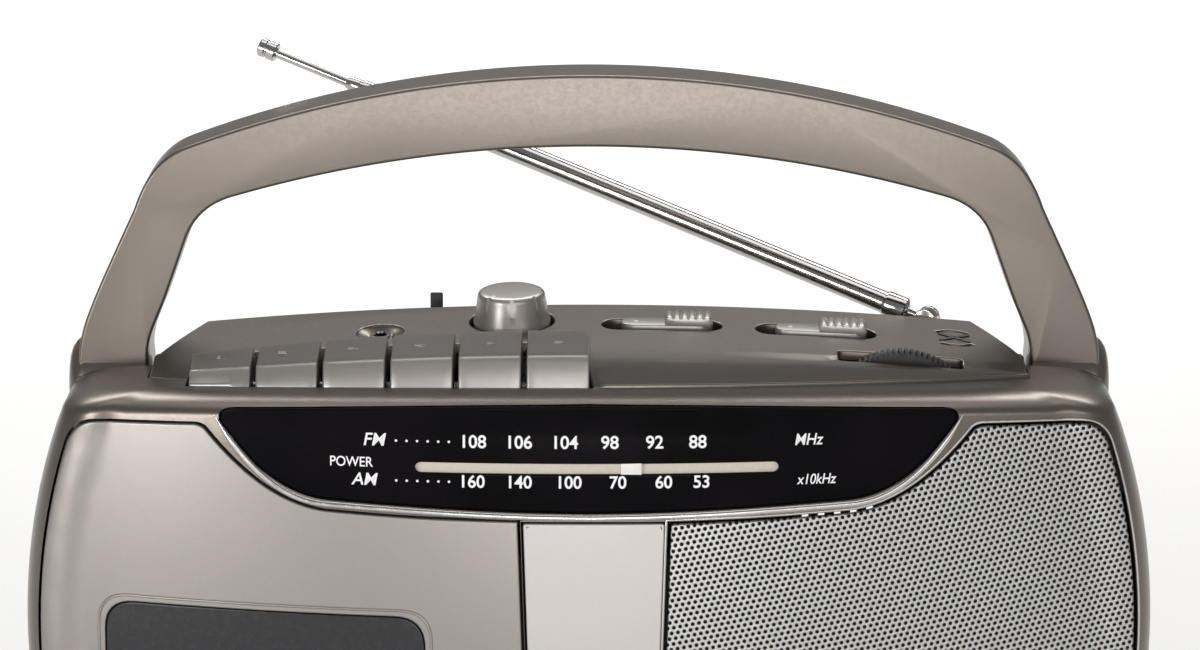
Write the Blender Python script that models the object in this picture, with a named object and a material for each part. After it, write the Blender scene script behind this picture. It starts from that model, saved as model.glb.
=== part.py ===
"""Portable radio cassette recorder, built as separate pieces: cabinet, deck, dial, door, keys, tape mechanism,
speaker, carrying handle, telescopic antenna and the electrical parts inside.

Sizes are in millimetres and become metres where a mesh is made. X points to the right-hand side, the front
faces -Y and +Z is up. Everything hangs from one empty, which is moved at the end so that the origin is at the
centre of the whole object's footprint, on the standing surface.
"""

from math import acos, asin, atan2, cos, hypot, pi, radians, sin, sqrt, tan

import bmesh
import bpy
from mathutils import Matrix, Vector

MM = 0.001
GAP = 0.3  # between pieces that touch or nearly touch
RUNNING = 0.4  # radial room of a part that turns or slides in another
PROUD = 1.0  # how far a cutting shape runs past the face that it cuts

# ---- cabinet -------------------------------------------------------------------------------------------
HALF_WIDTH = 146.8  # at the widest level of the bowed sides
SIDE_RADIUS = 165.0  # bow of the sides, seen from the front
WAIST_Z = 56.0  # level where the sides are widest
FRONT_Y = -47.0  # most forward point of the bowed front
REAR_Y = 50.0
PARTING_Y = 10.0  # the front cabinet ends here and the rear one starts
PLAN_RADIUS = 390.0  # bow of the front, seen from above
FACE_RADIUS = 700.0  # bow of the front, seen from the side
FACE_Z = 60.0  # most forward level of the front
FLOOR_Z = 4.0  # underside of the cabinet, held up by the feet
WALL = 2.5
CORNER = 14.0  # where the front rounds into the sides
TOE_DEPTH, TOE_HEIGHT = 14.0, 10.0  # rounding under the front
LIP_DEPTH, LIP_HEIGHT = 11.0, 5.0  # rounding over the front

# ---- deck ----------------------------------------------------------------------------------------------
DECK_Z = 122.8  # deck height at the middle of its front edge
DECK_FRONT_Y = -31.0
DECK_REAR_Y = 39.5
DECK_SLOPE = radians(6.07)  # it rises towards the rear
DECK_ARCH = 1150.0  # radius of its arch from side to side
DECK_FRONT_BOW = 255.0  # radius of its front edge in plan
DECK_HALF_WIDTH = 114.5
DECK_REAR_HALF_WIDTH = 102.6
DECK_THICKNESS = 2.5
POCKET_Z = 88.0  # floor of the two side pockets that the handle's arms stand in
GROOVE_Z = 116.0  # floor of the groove behind the deck that the antenna lies in

# ---- dial, badge, door and grille outlines on the front --------------------------------------------------
DIAL_LOW_Z, DIAL_TOP_Z = 93.3, 121.0
DIAL_BEND_X, DIAL_HALF_WIDTH = 66.0, 94.2
BEZEL = 3.2  # strip of cabinet left between the dial and the pieces below it
PANEL_TOP_Z = 113.7  # top edge of door and grille
EDGE_BORDER = 4.4  # cabinet left beside the door and the grille
BADGE_LEFT, BADGE_RIGHT = -16.9, 19.6
BADGE_TAPER = 0.031
PANEL_LOW_Z = 8.0
PANEL_DEPTH_Y = -8.0  # the door's and the grille's openings reach back to here
DOOR_GAP = 0.55
DOOR_LEFT_LOW_X = -112.0  # left end of the room that the door's lower edge swings through
LENS_DEPTH, LENS_THICKNESS = 0.8, 1.8
GRILLE_DEPTH, GRILLE_THICKNESS = 0.5, 1.2
BADGE_THICKNESS = 1.2
SLOT_LEFT, SLOT_RIGHT, SLOT_LOW, SLOT_HIGH = -43.9, 48.1, 103.3, 106.0  # window slot of the dial
POINTER_X, POINTER_WIDTH = 10.8, 5.3
SCALE_Y = -38.2

# ---- keys ----------------------------------------------------------------------------------------------
KEY_NAMES = ("pause", "stop_eject", "fast_forward", "rewind", "play", "record")
KEY_PITCH, KEY_WIDTH = 17.45, 16.0
LAST_KEY_X = -7.8  # centre of the right-hand key
KEY_FRONT_Y = -31.0
KEY_HEIGHT = 7.9  # of the right-hand key over the lip
KEY_REAR_Y, KEY_REAR_BOW, KEY_RISE = -6.4, 1430.0, 2.2
KEY_TOP_ARCH = 748.0
KEY_SHAFT_Y, KEY_SHAFT_Z, KEY_SHAFT_R = 8.0, 114.5, 1.5
KEY_HUB_R, KEY_ARM = 3.0, 4.0
KEY_ROOM = 0.9

# ---- deck controls: place on the deck and size -----------------------------------------------------------
KNOB_X, KNOB_Y = -20.5, 25.5
KNOB_TOP_R, KNOB_BASE_R, KNOB_HEIGHT, KNOB_ROOM = 9.0, 10.2, 8.6, 1.1
POT_SHAFT_R = 3.0
SWITCHES = (("function", 19.3, 22.0), ("band", 60.1, 21.0))
SWITCH_SLOT, SWITCH_SLOT_WIDTH = 32.0, 9.0
SLIDER_LENGTH, SLIDER_WIDTH, GRIP_LENGTH, GRIP_HEIGHT = 24.4, 6.8, 12.8, 3.2
SLIDER_AT = 1.4  # how far right of its slot's middle a slider stands
WHEEL_X, WHEEL_Y, WHEEL_R, WHEEL_WIDTH, WHEEL_PROUD = 81.4, 2.0, 21.0, 5.4, 2.1
WHEEL_TEETH = 56
MIC_X, MIC_Y, MIC_R = 97.0, 22.8, 6.7
PHONES_X, PHONES_Y, PHONES_R = -55.3, 19.5, 6.2
JACK_NOSE_R = 3.2

# ---- carrying handle -------------------------------------------------------------------------------------
HUB_Y, HUB_Z, HUB_R = 25.2, 112.5, 12.3
HUB_OUT = 137.9
GRIP_TOP_Z, GRIP_UNDER_Z = 196.1, 177.1
CORNER_OUT_X, CORNER_OUT_Z = 112.5, 174.5
CORNER_IN_X, CORNER_IN_Z = 102.5, 161.0
ARM_OUT_X, ARM_IN_X = 134.4, 116.4  # at the hub's level
HANDLE_HALF_DEPTH = 10.2
PIVOT_R, PIVOT_HEAD_R = 2.8, 5.6
BOSS_R = 7.0

# ---- antenna ---------------------------------------------------------------------------------------------
ANTENNA_X, ANTENNA_Y, ANTENNA_Z = 91.0, 44.5, 125.0
ANTENNA_SWIVEL, ANTENNA_RISE = radians(15.5), radians(19.5)
TUBE_END = 166.0
TUBE_R, TUBE_BORE = 3.0, 2.6
SECTION_2_R, SECTION_2_BORE = 2.3, 2.05
SECTION_3_R, SECTION_3_BORE = 1.8, 1.6
ROD_R = 1.35
COLLAR = 3.6
ROD_END = 201.0
TIP_R, TIP_LENGTH = 2.75, 5.3
KNUCKLE_R, KNUCKLE_WIDTH, CHEEK = 3.2, 3.0, 1.6
POST_R = 3.6

# ---- cassette and tape mechanism -------------------------------------------------------------------------
CASSETTE_WIDTH, CASSETTE_HEIGHT, CASSETTE_DEPTH = 100.4, 63.8, 12.0
CASSETTE_X, CASSETTE_LOW_Z, CASSETTE_FRONT_Y = -83.0, 24.0, -21.5
SPINDLE_Z, SPINDLE_SPACING = 53.0, 42.5
HINGE_Y, HINGE_Z = -25.0, 13.0
CHASSIS_Y, CHASSIS_THICKNESS = -6.0, 1.5
WINDOW_LEFT, WINDOW_RIGHT, WINDOW_LOW, WINDOW_HIGH = -124.9, -41.6, 27.0, 66.0
WINDOW_CORNER = 7.0
CAPSTAN_X, CAPSTAN_Z, CAPSTAN_R = -50.0, 82.0, 1.25
FLYWHEEL_R, FLYWHEEL_WIDTH = 19.0, 4.0
MOTOR_X, MOTOR_Z, MOTOR_R = -116.0, 66.0, 12.5
PULLEY_R = 4.0
BELT = 1.2
ROLLER_R, ROLLER_WIDTH, ROLLER_LIFT = 6.0, 7.0, 3.2
ARM_PIVOT_X, ARM_PIVOT_Z = -33.5, 97.0

# ---- speaker, power and boards ---------------------------------------------------------------------------
SPEAKER_X, SPEAKER_Z, SPEAKER_R = 82.0, 50.0, 38.0
SPEAKER_Y = -22.0
MAGNET_R, MAGNET_DEPTH = 22.0, 12.0
BAY_LEFT, BAY_RIGHT, BAY_LOW, BAY_HIGH, BAY_FRONT_Y = -70.0, 40.0, 9.0, 65.0, 17.0
INLET_X, INLET_Z, INLET_WIDTH, INLET_HEIGHT = 76.0, 24.0, 22.0, 16.0
FOOT_X, FOOT_FRONT_Y, FOOT_REAR_Y, FOOT_R = 105.0, -16.0, 33.0, 7.0
BOARD_Z = 104.0

SMOOTH_ANGLE = radians(35)


# ==== meshes and objects ====================================================================================
def clear_scene():
    for found in list(bpy.data.objects):
        bpy.data.objects.remove(found, do_unlink=True)


def material(name, colour, roughness, metallic=0.0):
    made = bpy.data.materials.get(name)
    if made is None:
        made = bpy.data.materials.new(name)
        made.use_nodes = True
        shader = made.node_tree.nodes["Principled BSDF"]
        shader.inputs["Base Color"].default_value = (*colour, 1.0)
        shader.inputs["Roughness"].default_value = roughness
        shader.inputs["Metallic"].default_value = metallic
    return made


def champagne():
    return material("champagne_paint", (0.56, 0.52, 0.48), 0.38, 0.35)


def silver():
    return material("silver_paint", (0.70, 0.68, 0.67), 0.35, 0.3)


def black_gloss():
    return material("black_gloss", (0.008, 0.008, 0.009), 0.08)


def black_plastic():
    return material("black_plastic", (0.03, 0.03, 0.03), 0.5)


def chrome():
    return material("chrome", (0.82, 0.82, 0.83), 0.1, 1.0)


def steel():
    return material("steel", (0.6, 0.6, 0.62), 0.3, 1.0)


def grille_metal():
    return material("grille_metal", (0.75, 0.75, 0.76), 0.35, 0.8)


def rubber():
    return material("rubber", (0.03, 0.03, 0.03), 0.85)


def board_green():
    return material("board", (0.32, 0.2, 0.1), 0.6)


def clear_window():
    return material("smoke_window", (0.05, 0.05, 0.05), 0.06)


def paper():
    return material("paper", (0.1, 0.1, 0.1), 0.9)


def brass():
    return material("brass", (0.75, 0.55, 0.25), 0.3, 1.0)


FRAME = {}  # holds the one empty that every piece hangs from


def place(name, mesh_data, paint, matrix=None):
    made = bpy.data.objects.new(name, mesh_data)
    bpy.context.scene.collection.objects.link(made)
    made.data.materials.append(paint)
    made.data.shade_smooth()
    made.data.set_sharp_from_angle(angle=SMOOTH_ANGLE)
    made.parent = FRAME["root"]
    if matrix is not None:
        made.matrix_local = matrix
    return made


def solid(name, points, faces, paint, matrix=None):
    """An object from points in millimetres and faces, with its normals turned outwards."""
    mesh_data = bpy.data.meshes.new(name)
    work = bmesh.new()
    corners = [work.verts.new(Vector(p) * MM) for p in points]
    for face in faces:
        work.faces.new([corners[i] for i in face])
    bmesh.ops.remove_doubles(work, verts=work.verts, dist=1e-7)
    bmesh.ops.recalc_face_normals(work, faces=work.faces)
    if work.calc_volume(signed=True) < 0:
        bmesh.ops.reverse_faces(work, faces=work.faces)
    work.to_mesh(mesh_data)
    work.free()
    return place(name, mesh_data, paint, matrix)


def at(x, y, z):
    return Matrix.Translation(Vector((x, y, z)) * MM)


def box(name, x, y, z, paint, matrix=None):
    """A box from its (low, high) pairs."""
    points = [(a, b, c) for a in x for b in y for c in z]
    faces = [(0, 1, 3, 2), (4, 6, 7, 5), (0, 4, 5, 1), (2, 3, 7, 6), (0, 2, 6, 4), (1, 5, 7, 3)]
    return solid(name, points, faces, paint, matrix)


def prism(name, outline, low, high, paint, along="Y", matrix=None):
    """An outline extruded from low to high: (x, z) points along Y, (x, y) points along Z, (y, z) along X."""
    put = {
        "X": lambda a, b, d: (d, a, b),
        "Y": lambda a, b, d: (a, d, b),
        "Z": lambda a, b, d: (a, b, d),
    }[along]
    n = len(outline)
    points = [put(a, b, low) for a, b in outline] + [put(a, b, high) for a, b in outline]
    faces = [tuple(range(n)), tuple(range(n, 2 * n))]
    faces += [(i, (i + 1) % n, n + (i + 1) % n, n + i) for i in range(n)]
    return solid(name, points, faces, paint, matrix)


def turned(name, profile, paint, along="Z", matrix=None, sides=32):
    """A profile of (radius, distance) points turned about an axis. It is closed at both ends by the profile."""
    put = {
        "X": lambda a, b, d: (d, a, b),
        "Y": lambda a, b, d: (b, d, a),
        "Z": lambda a, b, d: (a, b, d),
    }[along]
    points, rings = [], []
    flat = [profile[0][0] == 0 and profile[0][1] == profile[1][1], profile[-1][0] == 0 and profile[-1][1] == profile[-2][1]]
    profile = profile[1 if flat[0] else 0 : len(profile) - (1 if flat[1] else 0)]
    for radius, distance in profile:
        if radius == 0:
            rings.append([len(points)] * sides)
            points.append(put(0, 0, distance))
            continue
        rings.append([len(points) + k for k in range(sides)])
        turns = [2 * pi * k / sides for k in range(sides)]
        points += [put(radius * cos(a), radius * sin(a), distance) for a in turns]
    open_bore = profile[0][0] > 0 and profile[-1][0] > 0 and not any(flat)
    pairs = list(zip(rings, rings[1:])) + ([(rings[-1], rings[0])] if open_bore else [])
    faces = [tuple(ring) for ring, is_flat in ((rings[0], flat[0]), (rings[-1], flat[1])) if is_flat]
    for low, high in pairs:
        for k in range(sides):
            corners = [low[k], low[(k + 1) % sides], high[(k + 1) % sides], high[k]]
            kept = [c for i, c in enumerate(corners) if c not in corners[:i]]
            if len(kept) > 2:
                faces.append(tuple(kept))
    return solid(name, points, faces, paint, matrix)


def rod(name, radius, low, high, paint, along="Z", matrix=None, sides=24):
    return turned(name, [(0, low), (radius, low), (radius, high), (0, high)], paint, along, matrix, sides)


def tool(made):
    """Marks a helper that only cuts or adds to other pieces."""
    made.hide_render = True
    made.display_type = "WIRE"
    return made


def change(made, other, operation):
    step = made.modifiers.new(operation.title() + "_" + other.name, "BOOLEAN")
    step.operation = operation
    step.object = tool(other)
    return made


def cut(made, *others):
    for other in others:
        change(made, other, "DIFFERENCE")
    return made


def add(made, *others):
    for other in others:
        change(made, other, "UNION")
    return made


def common(made, other):
    return change(made, other, "INTERSECT")


# ==== shared curves =========================================================================================
def bezier(a, b, c, steps):
    """Points of a quadratic curve from a to c, without a."""
    spots = [k / steps for k in range(1, steps + 1)]
    return [
        tuple((1 - t) ** 2 * p + 2 * t * (1 - t) * q + t * t * r for p, q, r in zip(a, b, c)) for t in spots
    ]


def arc(centre, radius, start, end, steps):
    turns = [start + (end - start) * k / steps for k in range(steps + 1)]
    return [(centre[0] + radius * cos(a), centre[1] + radius * sin(a)) for a in turns]


def mirrored(points):
    return [(-x, z) for x, z in reversed(points)]


def bow(distance, radius):
    return radius - sqrt(radius * radius - distance * distance)


def half_width(z):
    return HALF_WIDTH - bow(z - WAIST_Z, SIDE_RADIUS)


def front_y(x, z):
    return FRONT_Y + bow(x, PLAN_RADIUS) + bow(z - FACE_Z, FACE_RADIUS)


def deck_z(x, y):
    return DECK_Z + tan(DECK_SLOPE) * (y - DECK_FRONT_Y) - x * x / (2 * DECK_ARCH)


def deck_front_y(x):
    return DECK_FRONT_Y + x * x / (2 * DECK_FRONT_BOW)


def lip_z(x):
    """Top of the front cabinet, which meets the deck's front edge all along."""
    return deck_z(x, deck_front_y(x))


def deck_matrix(x, y):
    """A frame on the deck: X and Y lie along its surface and Z stands out of it."""
    lean = Matrix.Rotation(atan2(x, DECK_ARCH), 4, "Y")
    return at(x, y, deck_z(x, y)) @ Matrix.Rotation(DECK_SLOPE, 4, "X") @ lean


# ==== cabinet =============================================================================================
def ring_points(edge, inset, z, face, back_y, side):
    """One level of a cabinet shell: across the face, round both corners, and back along the open side."""
    reach = edge - inset - CORNER
    stations = [-reach + 2 * reach * k / 12 for k in range(13)]
    corner_in = face(reach) + side * -inset
    turn = bezier((reach, corner_in), (edge - inset, corner_in), (edge - inset, corner_in - side * CORNER), 4)
    front = [(-x, y) for x, y in reversed(turn)]
    front += [(x, face(x) - side * inset) for x in stations]
    front += turn
    rear = [(x, back_y) for x, _ in front]
    return front, rear


def shell_form(name, levels, face, back_y, side, paint):
    """A closed form from levels of (level function of x, inset, half width at that level). Its two open sides are
    closed by strips that share the face's X stations, so that an arched top stays smooth."""
    points, rings = [], []
    for height, inset, edge in levels:
        middle = height(0)
        front, rear = ring_points(edge, inset, middle, lambda x, m=middle: face(x, m), back_y, side)
        outline = front + rear[::-1]
        rings.append(list(range(len(points), len(points) + len(outline))))
        points += [(x, y, height(x)) for x, y in outline]
    count = len(rings[0])
    half = count // 2
    faces = []
    for low, high in zip(rings, rings[1:]):
        faces += [(low[k], low[(k + 1) % count], high[(k + 1) % count], high[k]) for k in range(count)]
    for ring in (rings[0], rings[-1]):
        faces += [(ring[k], ring[k + 1], ring[count - 2 - k], ring[count - 1 - k]) for k in range(half - 1)]
    return solid(name, points, faces, paint)


def front_form(name, inset, back_y, paint):
    """The outside of the front cabinet, drawn in by an inset on every side."""
    rises = [90 * k / 4 for k in range(5)]
    levels = []
    for rise in reversed(rises):
        more = TOE_DEPTH * (1 - cos(radians(rise)))
        height = FLOOR_Z + TOE_HEIGHT * (1 - sin(radians(rise))) + inset
        levels.append((height, inset + more))
    start = levels[-1][0]
    end = lip_z(0) - LIP_HEIGHT - inset
    levels += [(start + (end - start) * k / 8, inset) for k in range(1, 8)]
    made = [(lambda x, h=h: h, more, half_width(h)) for h, more in levels]
    for rise in rises:
        more = LIP_DEPTH * (1 - cos(radians(rise)))
        drop = LIP_HEIGHT * (1 - sin(radians(rise))) + inset
        made.append((lambda x, d=drop: lip_z(x) - d, inset + more, half_width(lip_z(HALF_WIDTH - CORNER) - drop)))
    return shell_form(name, made, front_y, back_y, -1, paint)


def rear_form(name, inset, front_y_edge, top_z, paint):
    """The outside of the rear cabinet up to the pockets' floor, drawn in by an inset on every side."""
    levels = [(FLOOR_Z + inset, inset + 3.0), (FLOOR_Z + inset + 1.0, inset + 1.0)]
    start, end = FLOOR_Z + inset + 3.5, top_z - inset
    levels += [(start + (end - start) * k / 6, inset) for k in range(7)]
    made = [(lambda x, h=h: h, more, half_width(h)) for h, more in levels]
    return shell_form(name, made, lambda x, z: REAR_Y, front_y_edge, 1, paint)


def deck_outline(grow=0.0, keys_too=False):
    """The deck in plan, as (x, y) points, grown by a margin. It can take in the room in front of the keys."""
    span = DECK_HALF_WIDTH + grow
    front = [(x, deck_front_y(x) - grow) for x in [-span + 2 * span * k / 20 for k in range(21)]]
    if keys_too:
        slot = key_slot_front()
        left, right = slot[0][0], slot[-1][0]
        slot = [(left, deck_front_y(left) - grow)] + slot + [(right, deck_front_y(right) - grow)]
        front = [p for p in front if p[0] < left - 1] + slot + [p for p in front if p[0] > right + 1]
    side = bezier((DECK_HALF_WIDTH, PARTING_Y + 1), (DECK_HALF_WIDTH - 3, 22.0), (DECK_REAR_HALF_WIDTH, DECK_REAR_Y), 5)
    right = [(x + grow, y) for x, y in [(DECK_HALF_WIDTH, PARTING_Y + 1)] + side]
    right[-1] = (DECK_REAR_HALF_WIDTH + grow, DECK_REAR_Y + grow)
    return front + right + [(-x, y) for x, y in reversed(right)]


def deck_slab(name, low, high, paint):
    """The layer between two heights over the deck's surface, wider than the deck."""
    across = [-(DECK_HALF_WIDTH + 20) + (DECK_HALF_WIDTH + 20) * k / 10 for k in range(21)]
    ends = (DECK_FRONT_Y - 20, REAR_Y + 20)
    points, faces = [], []
    for x in across:
        for y in ends:
            points += [(x, y, deck_z(x, y) + low), (x, y, deck_z(x, y) + high)]
    for k in range(len(across) - 1):
        a, b = 4 * k, 4 * (k + 1)
        faces += [(a, a + 2, b + 2, b), (a + 1, b + 1, b + 3, a + 3), (a, b, b + 1, a + 1)]
        faces.append((a + 2, a + 3, b + 3, b + 2))
    last = len(points) - 4
    faces += [(0, 1, 3, 2), (last, last + 2, last + 3, last + 1)]
    return solid(name, points, faces, paint)


def dial_outline(grow=0.0):
    """The dial window, with its bowed lower corners, as (x, z) points."""
    low, top = DIAL_LOW_Z - grow, DIAL_TOP_Z + grow
    bend = (DIAL_BEND_X, low + 2.3)
    side = (DIAL_HALF_WIDTH + grow, top - 6.0)
    corner = bezier(bend, (81.5 + grow, low + 3.2), side, 8)
    upper = bezier(side, (side[0] + 0.6, top - 3.1), (side[0] - 4.0, top - 2.8), 3)
    right = [(33.0, low + 0.6), bend] + corner + upper + [(45.0, top - 0.8)]
    return mirrored(right) + [(0.0, low)] + right + [(0.0, top)]


def panel_inner_edge(start_x, grow=0.0):
    """The edge that the door and the grille share with the dial's bezel, from the middle outwards."""
    low = DIAL_LOW_Z - BEZEL + 1.3 + grow
    bend = (DIAL_BEND_X + 0.5, low + 1.6)
    end = (DIAL_HALF_WIDTH + 4.3 - grow, PANEL_TOP_Z + grow)
    return [(start_x, low)] + [bend] + bezier(bend, (82.0 - grow, low + 2.8), end, 8)


def panel_outline(inner_x, taper, grow):
    """The grille's outline, or the door's when mirrored, from its upper inner corner round to the lower one."""
    border = EDGE_BORDER - grow
    upper = panel_inner_edge(inner_x - grow, grow)
    top = PANEL_TOP_Z - 1.1 + grow
    low = PANEL_LOW_Z - grow
    shoulder = (half_width(top) - border, top)
    turn = bezier((shoulder[0] - 5.0, top), shoulder, (half_width(top - 5) - border, top - 5.0), 3)
    heights = [top - 5.0 + (low - top + 5.0) * k / 8 for k in range(1, 9)]
    side = [(half_width(h) - border, h) for h in heights]
    return upper + [(shoulder[0] - 5.0, top)] + turn + side + [(inner_x - grow - taper * (upper[0][1] - low), low)]


def door_outline(grow=0.0):
    flipped = panel_outline(-BADGE_LEFT + 0.9, BADGE_TAPER, grow)
    return [(-x, z) for x, z in flipped]


def grille_outline(grow=0.0):
    return panel_outline(BADGE_RIGHT + 0.4, BADGE_TAPER, grow)


def badge_outline():
    top, low = DIAL_LOW_Z - BEZEL + 1.0, PANEL_LOW_Z + 4.0
    drop = BADGE_TAPER * (top - low)
    return [(BADGE_LEFT, top), (BADGE_RIGHT, top), (BADGE_RIGHT - drop, low), (BADGE_LEFT + drop, low)]


def stadium(length, width, steps=6):
    """A slot outline about the origin: straight sides and round ends."""
    r, half = width / 2, length / 2 - width / 2
    right = arc((half, 0), r, -pi / 2, pi / 2, steps)
    return right + [(-x, -y) for x, y in right]


def skin(name, outline, depth, thickness, paint, lift=0.0):
    """A piece of the bowed front: what an outline takes out of a layer at some depth under the surface. Near the
    top, the layer's back is lifted so that it doesn't follow the cabinet over its lip."""
    made = prism(name, outline, FRONT_Y - 5, PANEL_DEPTH_Y - 1, paint)
    common(made, front_form(name + "_outside", depth, PARTING_Y, paint))
    back = front_form(name + "_inside", depth + thickness, PARTING_Y + 5, paint)
    back.location.z = lift * MM
    return cut(made, back)


def key_slot_front():
    """The front edge of the opening that the keys stand in. It follows the keys' bowed front line."""
    left, right = key_x(0) - KEY_WIDTH / 2 - KEY_ROOM, key_x(5) + KEY_WIDTH / 2 + KEY_ROOM
    across = [left + (right - left) * k / 8 for k in range(9)]
    return [(x, key_front_y(x) - KEY_ROOM) for x in across]


def key_slot(name):
    """The opening in the deck that the six keys stand in."""
    front = [(x, y - 2) for x, y in key_slot_front()]
    across = [x for x, _ in front]
    rear = [(x, KEY_REAR_Y + 12.6 + x * x / (2 * KEY_REAR_BOW)) for x in reversed(across)]
    return prism(name, front + rear, DECK_Z - 30, DECK_Z + 30, champagne(), "Z")


def front_cabinet():
    made = front_form("front_cabinet", 0.0, PARTING_Y, champagne())
    cut(made, front_form("front_hollow", WALL, PARTING_Y + PROUD, champagne()))
    cut(made, prism("deck_opening", deck_outline(GAP, keys_too=True), DECK_Z - 20, DECK_Z + 30, champagne(), "Z"))
    deep = (FRONT_Y - 20, DECK_FRONT_Y + 10)
    cut(made, prism("dial_opening", dial_outline(), *deep, champagne()))
    cut(made, prism("door_opening", door_outline(DOOR_GAP), FRONT_Y - 20, PANEL_DEPTH_Y, champagne()))
    sweep = (DOOR_LEFT_LOW_X, BADGE_LEFT + BADGE_TAPER * (DIAL_LOW_Z - PANEL_LOW_Z) - 0.3)
    cut(made, box("door_sweep", sweep, (FRONT_Y - 20, HINGE_Y + 1), (FLOOR_Z - 5, PANEL_LOW_Z + 2), champagne()))
    cut(made, prism("grille_opening", grille_outline(), FRONT_Y - 20, PANEL_DEPTH_Y, champagne()))
    shallow = prism("badge_recess", badge_outline(), FRONT_Y - 20, DECK_FRONT_Y, champagne())
    cut(shallow, front_form("badge_floor", BADGE_THICKNESS + GAP, PARTING_Y, champagne()))
    cut(made, shallow)
    for x in (-FOOT_X, FOOT_X):
        cut(made, rod("foot_hole", 3.0, FLOOR_Z - 2, FLOOR_Z + WALL + 2, champagne(), "Z", at(x, FOOT_FRONT_Y, 0)))
    return made


def block_outline(grow, rear_y):
    """The rear cabinet above the pockets, in plan: it carries the deck."""
    deck = [(x, y) for x, y in deck_outline(grow) if y > PARTING_Y]
    right = [(x, min(y, rear_y)) for x, y in deck if x > 0]
    right = [(DECK_HALF_WIDTH + grow, PARTING_Y + GAP)] + right
    if rear_y > DECK_REAR_Y + 1:
        right.append((DECK_REAR_HALF_WIDTH + grow - 2.0, rear_y))
    return right + [(-x, y) for x, y in reversed(right)]


def rear_cabinet():
    front = PARTING_Y + GAP
    made = rear_form("rear_cabinet", 0.0, front, POCKET_Z, champagne())
    groove = prism("groove_block", block_outline(-0.6, REAR_Y), POCKET_Z - 8, GROOVE_Z, champagne(), "Z")
    upper = prism("deck_block", block_outline(-0.6, DECK_REAR_Y - 0.6), POCKET_Z - 8, DECK_Z + 30, champagne(), "Z")
    cut(upper, deck_slab("block_top", -DECK_THICKNESS - GAP, 60, champagne()))
    add(made, groove, upper)
    add(made, *[pocket_wall(side) for side in (-1, 1)])
    hollow = rear_form("rear_hollow", WALL, front - PROUD, POCKET_Z, champagne())
    room = prism(
        "groove_room", block_outline(-0.6 - WALL, REAR_Y - WALL), POCKET_Z - 12, GROOVE_Z - WALL, champagne(), "Z"
    )
    open_front = [(x, y if y > front + 1 else front - PROUD) for x, y in block_outline(-0.6 - WALL, DECK_REAR_Y - 3.1)]
    shaft = prism("deck_room", open_front, POCKET_Z - 12, DECK_Z + 30, champagne(), "Z")
    low_front = box(
        "front_room",
        (-DECK_HALF_WIDTH + 3.1, DECK_HALF_WIDTH - 3.1),
        (front - PROUD, front + 6),
        (POCKET_Z - 12, GROOVE_Z - WALL),
        champagne(),
    )
    cut(made, hollow, room, shaft, low_front)
    add(made, *[handle_boss(side) for side in (-1, 1)])
    for side in (-1, 1):
        hole = rod("pivot_hole", PIVOT_R + GAP, 0, 40, champagne(), "X", at(0, HUB_Y, HUB_Z))
        hole.location.x = side * (DECK_HALF_WIDTH - 22) * MM - (40 * MM if side < 0 else 0)
        cut(made, hole)
    bay = box(
        "bay_walls", (BAY_LEFT - 2, BAY_RIGHT + 2), (BAY_FRONT_Y - 2, REAR_Y - 1), (BAY_LOW - 2, BAY_HIGH + 2), champagne()
    )
    add(made, bay)
    inside = box("bay_room", (BAY_LEFT, BAY_RIGHT), (BAY_FRONT_Y, REAR_Y + 5), (BAY_LOW, BAY_HIGH), champagne())
    cut(made, inside)
    cut(
        made,
        box(
            "inlet_hole",
            (INLET_X - INLET_WIDTH / 2 - GAP, INLET_X + INLET_WIDTH / 2 + GAP),
            (REAR_Y - 8, REAR_Y + 5),
            (INLET_Z - INLET_HEIGHT / 2 - GAP, INLET_Z + INLET_HEIGHT / 2 + GAP),
            champagne(),
        ),
    )
    post = rod("post_hole", POST_R + RUNNING, GROOVE_Z - 6, GROOVE_Z + 6, champagne(), "Z", at(ANTENNA_X, ANTENNA_Y, 0))
    cut(made, post)
    add(made, *antenna_clip())
    for x in (-FOOT_X, FOOT_X):
        cut(made, rod("foot_hole", 3.0, FLOOR_Z - 2, FLOOR_Z + WALL + 2, champagne(), "Z", at(x, FOOT_REAR_Y, 0)))
    return made


def pocket_wall(side):
    """The wall in front of a handle arm, which closes the front cabinet behind its shoulder."""
    heights = [POCKET_Z - 4 + (lip_z(HALF_WIDTH - 20) - 3.0 - POCKET_Z + 4) * k / 5 for k in range(6)]
    outer = [(half_width(h) - 0.6, h) for h in heights]
    outer += [(half_width(heights[-1]) - 5.0, heights[-1] + 1.8)]
    inner = [(DECK_HALF_WIDTH - 2.0, heights[-1] + 1.8), (DECK_HALF_WIDTH - 2.0, heights[0])]
    outline = [(side * x, z) for x, z in outer + inner]
    return prism("pocket_wall", outline, PARTING_Y + GAP, PARTING_Y + GAP + 2.0, champagne())


def handle_boss(side):
    made = rod("handle_boss", BOSS_R, 0, 9.0, champagne(), "X", at(0, HUB_Y, HUB_Z))
    end = DECK_HALF_WIDTH + 1.2
    made.location.x = (end - 9.0 if side > 0 else -end) * MM
    return made


def antenna_clip():
    """A hook on the groove's floor that holds the antenna when it is laid down."""
    x = (-43.0, -39.6)
    back = box("clip_back", x, (ANTENNA_Y + TUBE_R + 0.5, ANTENNA_Y + TUBE_R + 2.0), (GROOVE_Z - 1, 131.6), black_plastic())
    seat = box("clip_seat", x, (DECK_REAR_Y + 0.2, ANTENNA_Y + TUBE_R + 1.5), (GROOVE_Z - 1, 124.6), black_plastic())
    return back, seat


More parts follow.
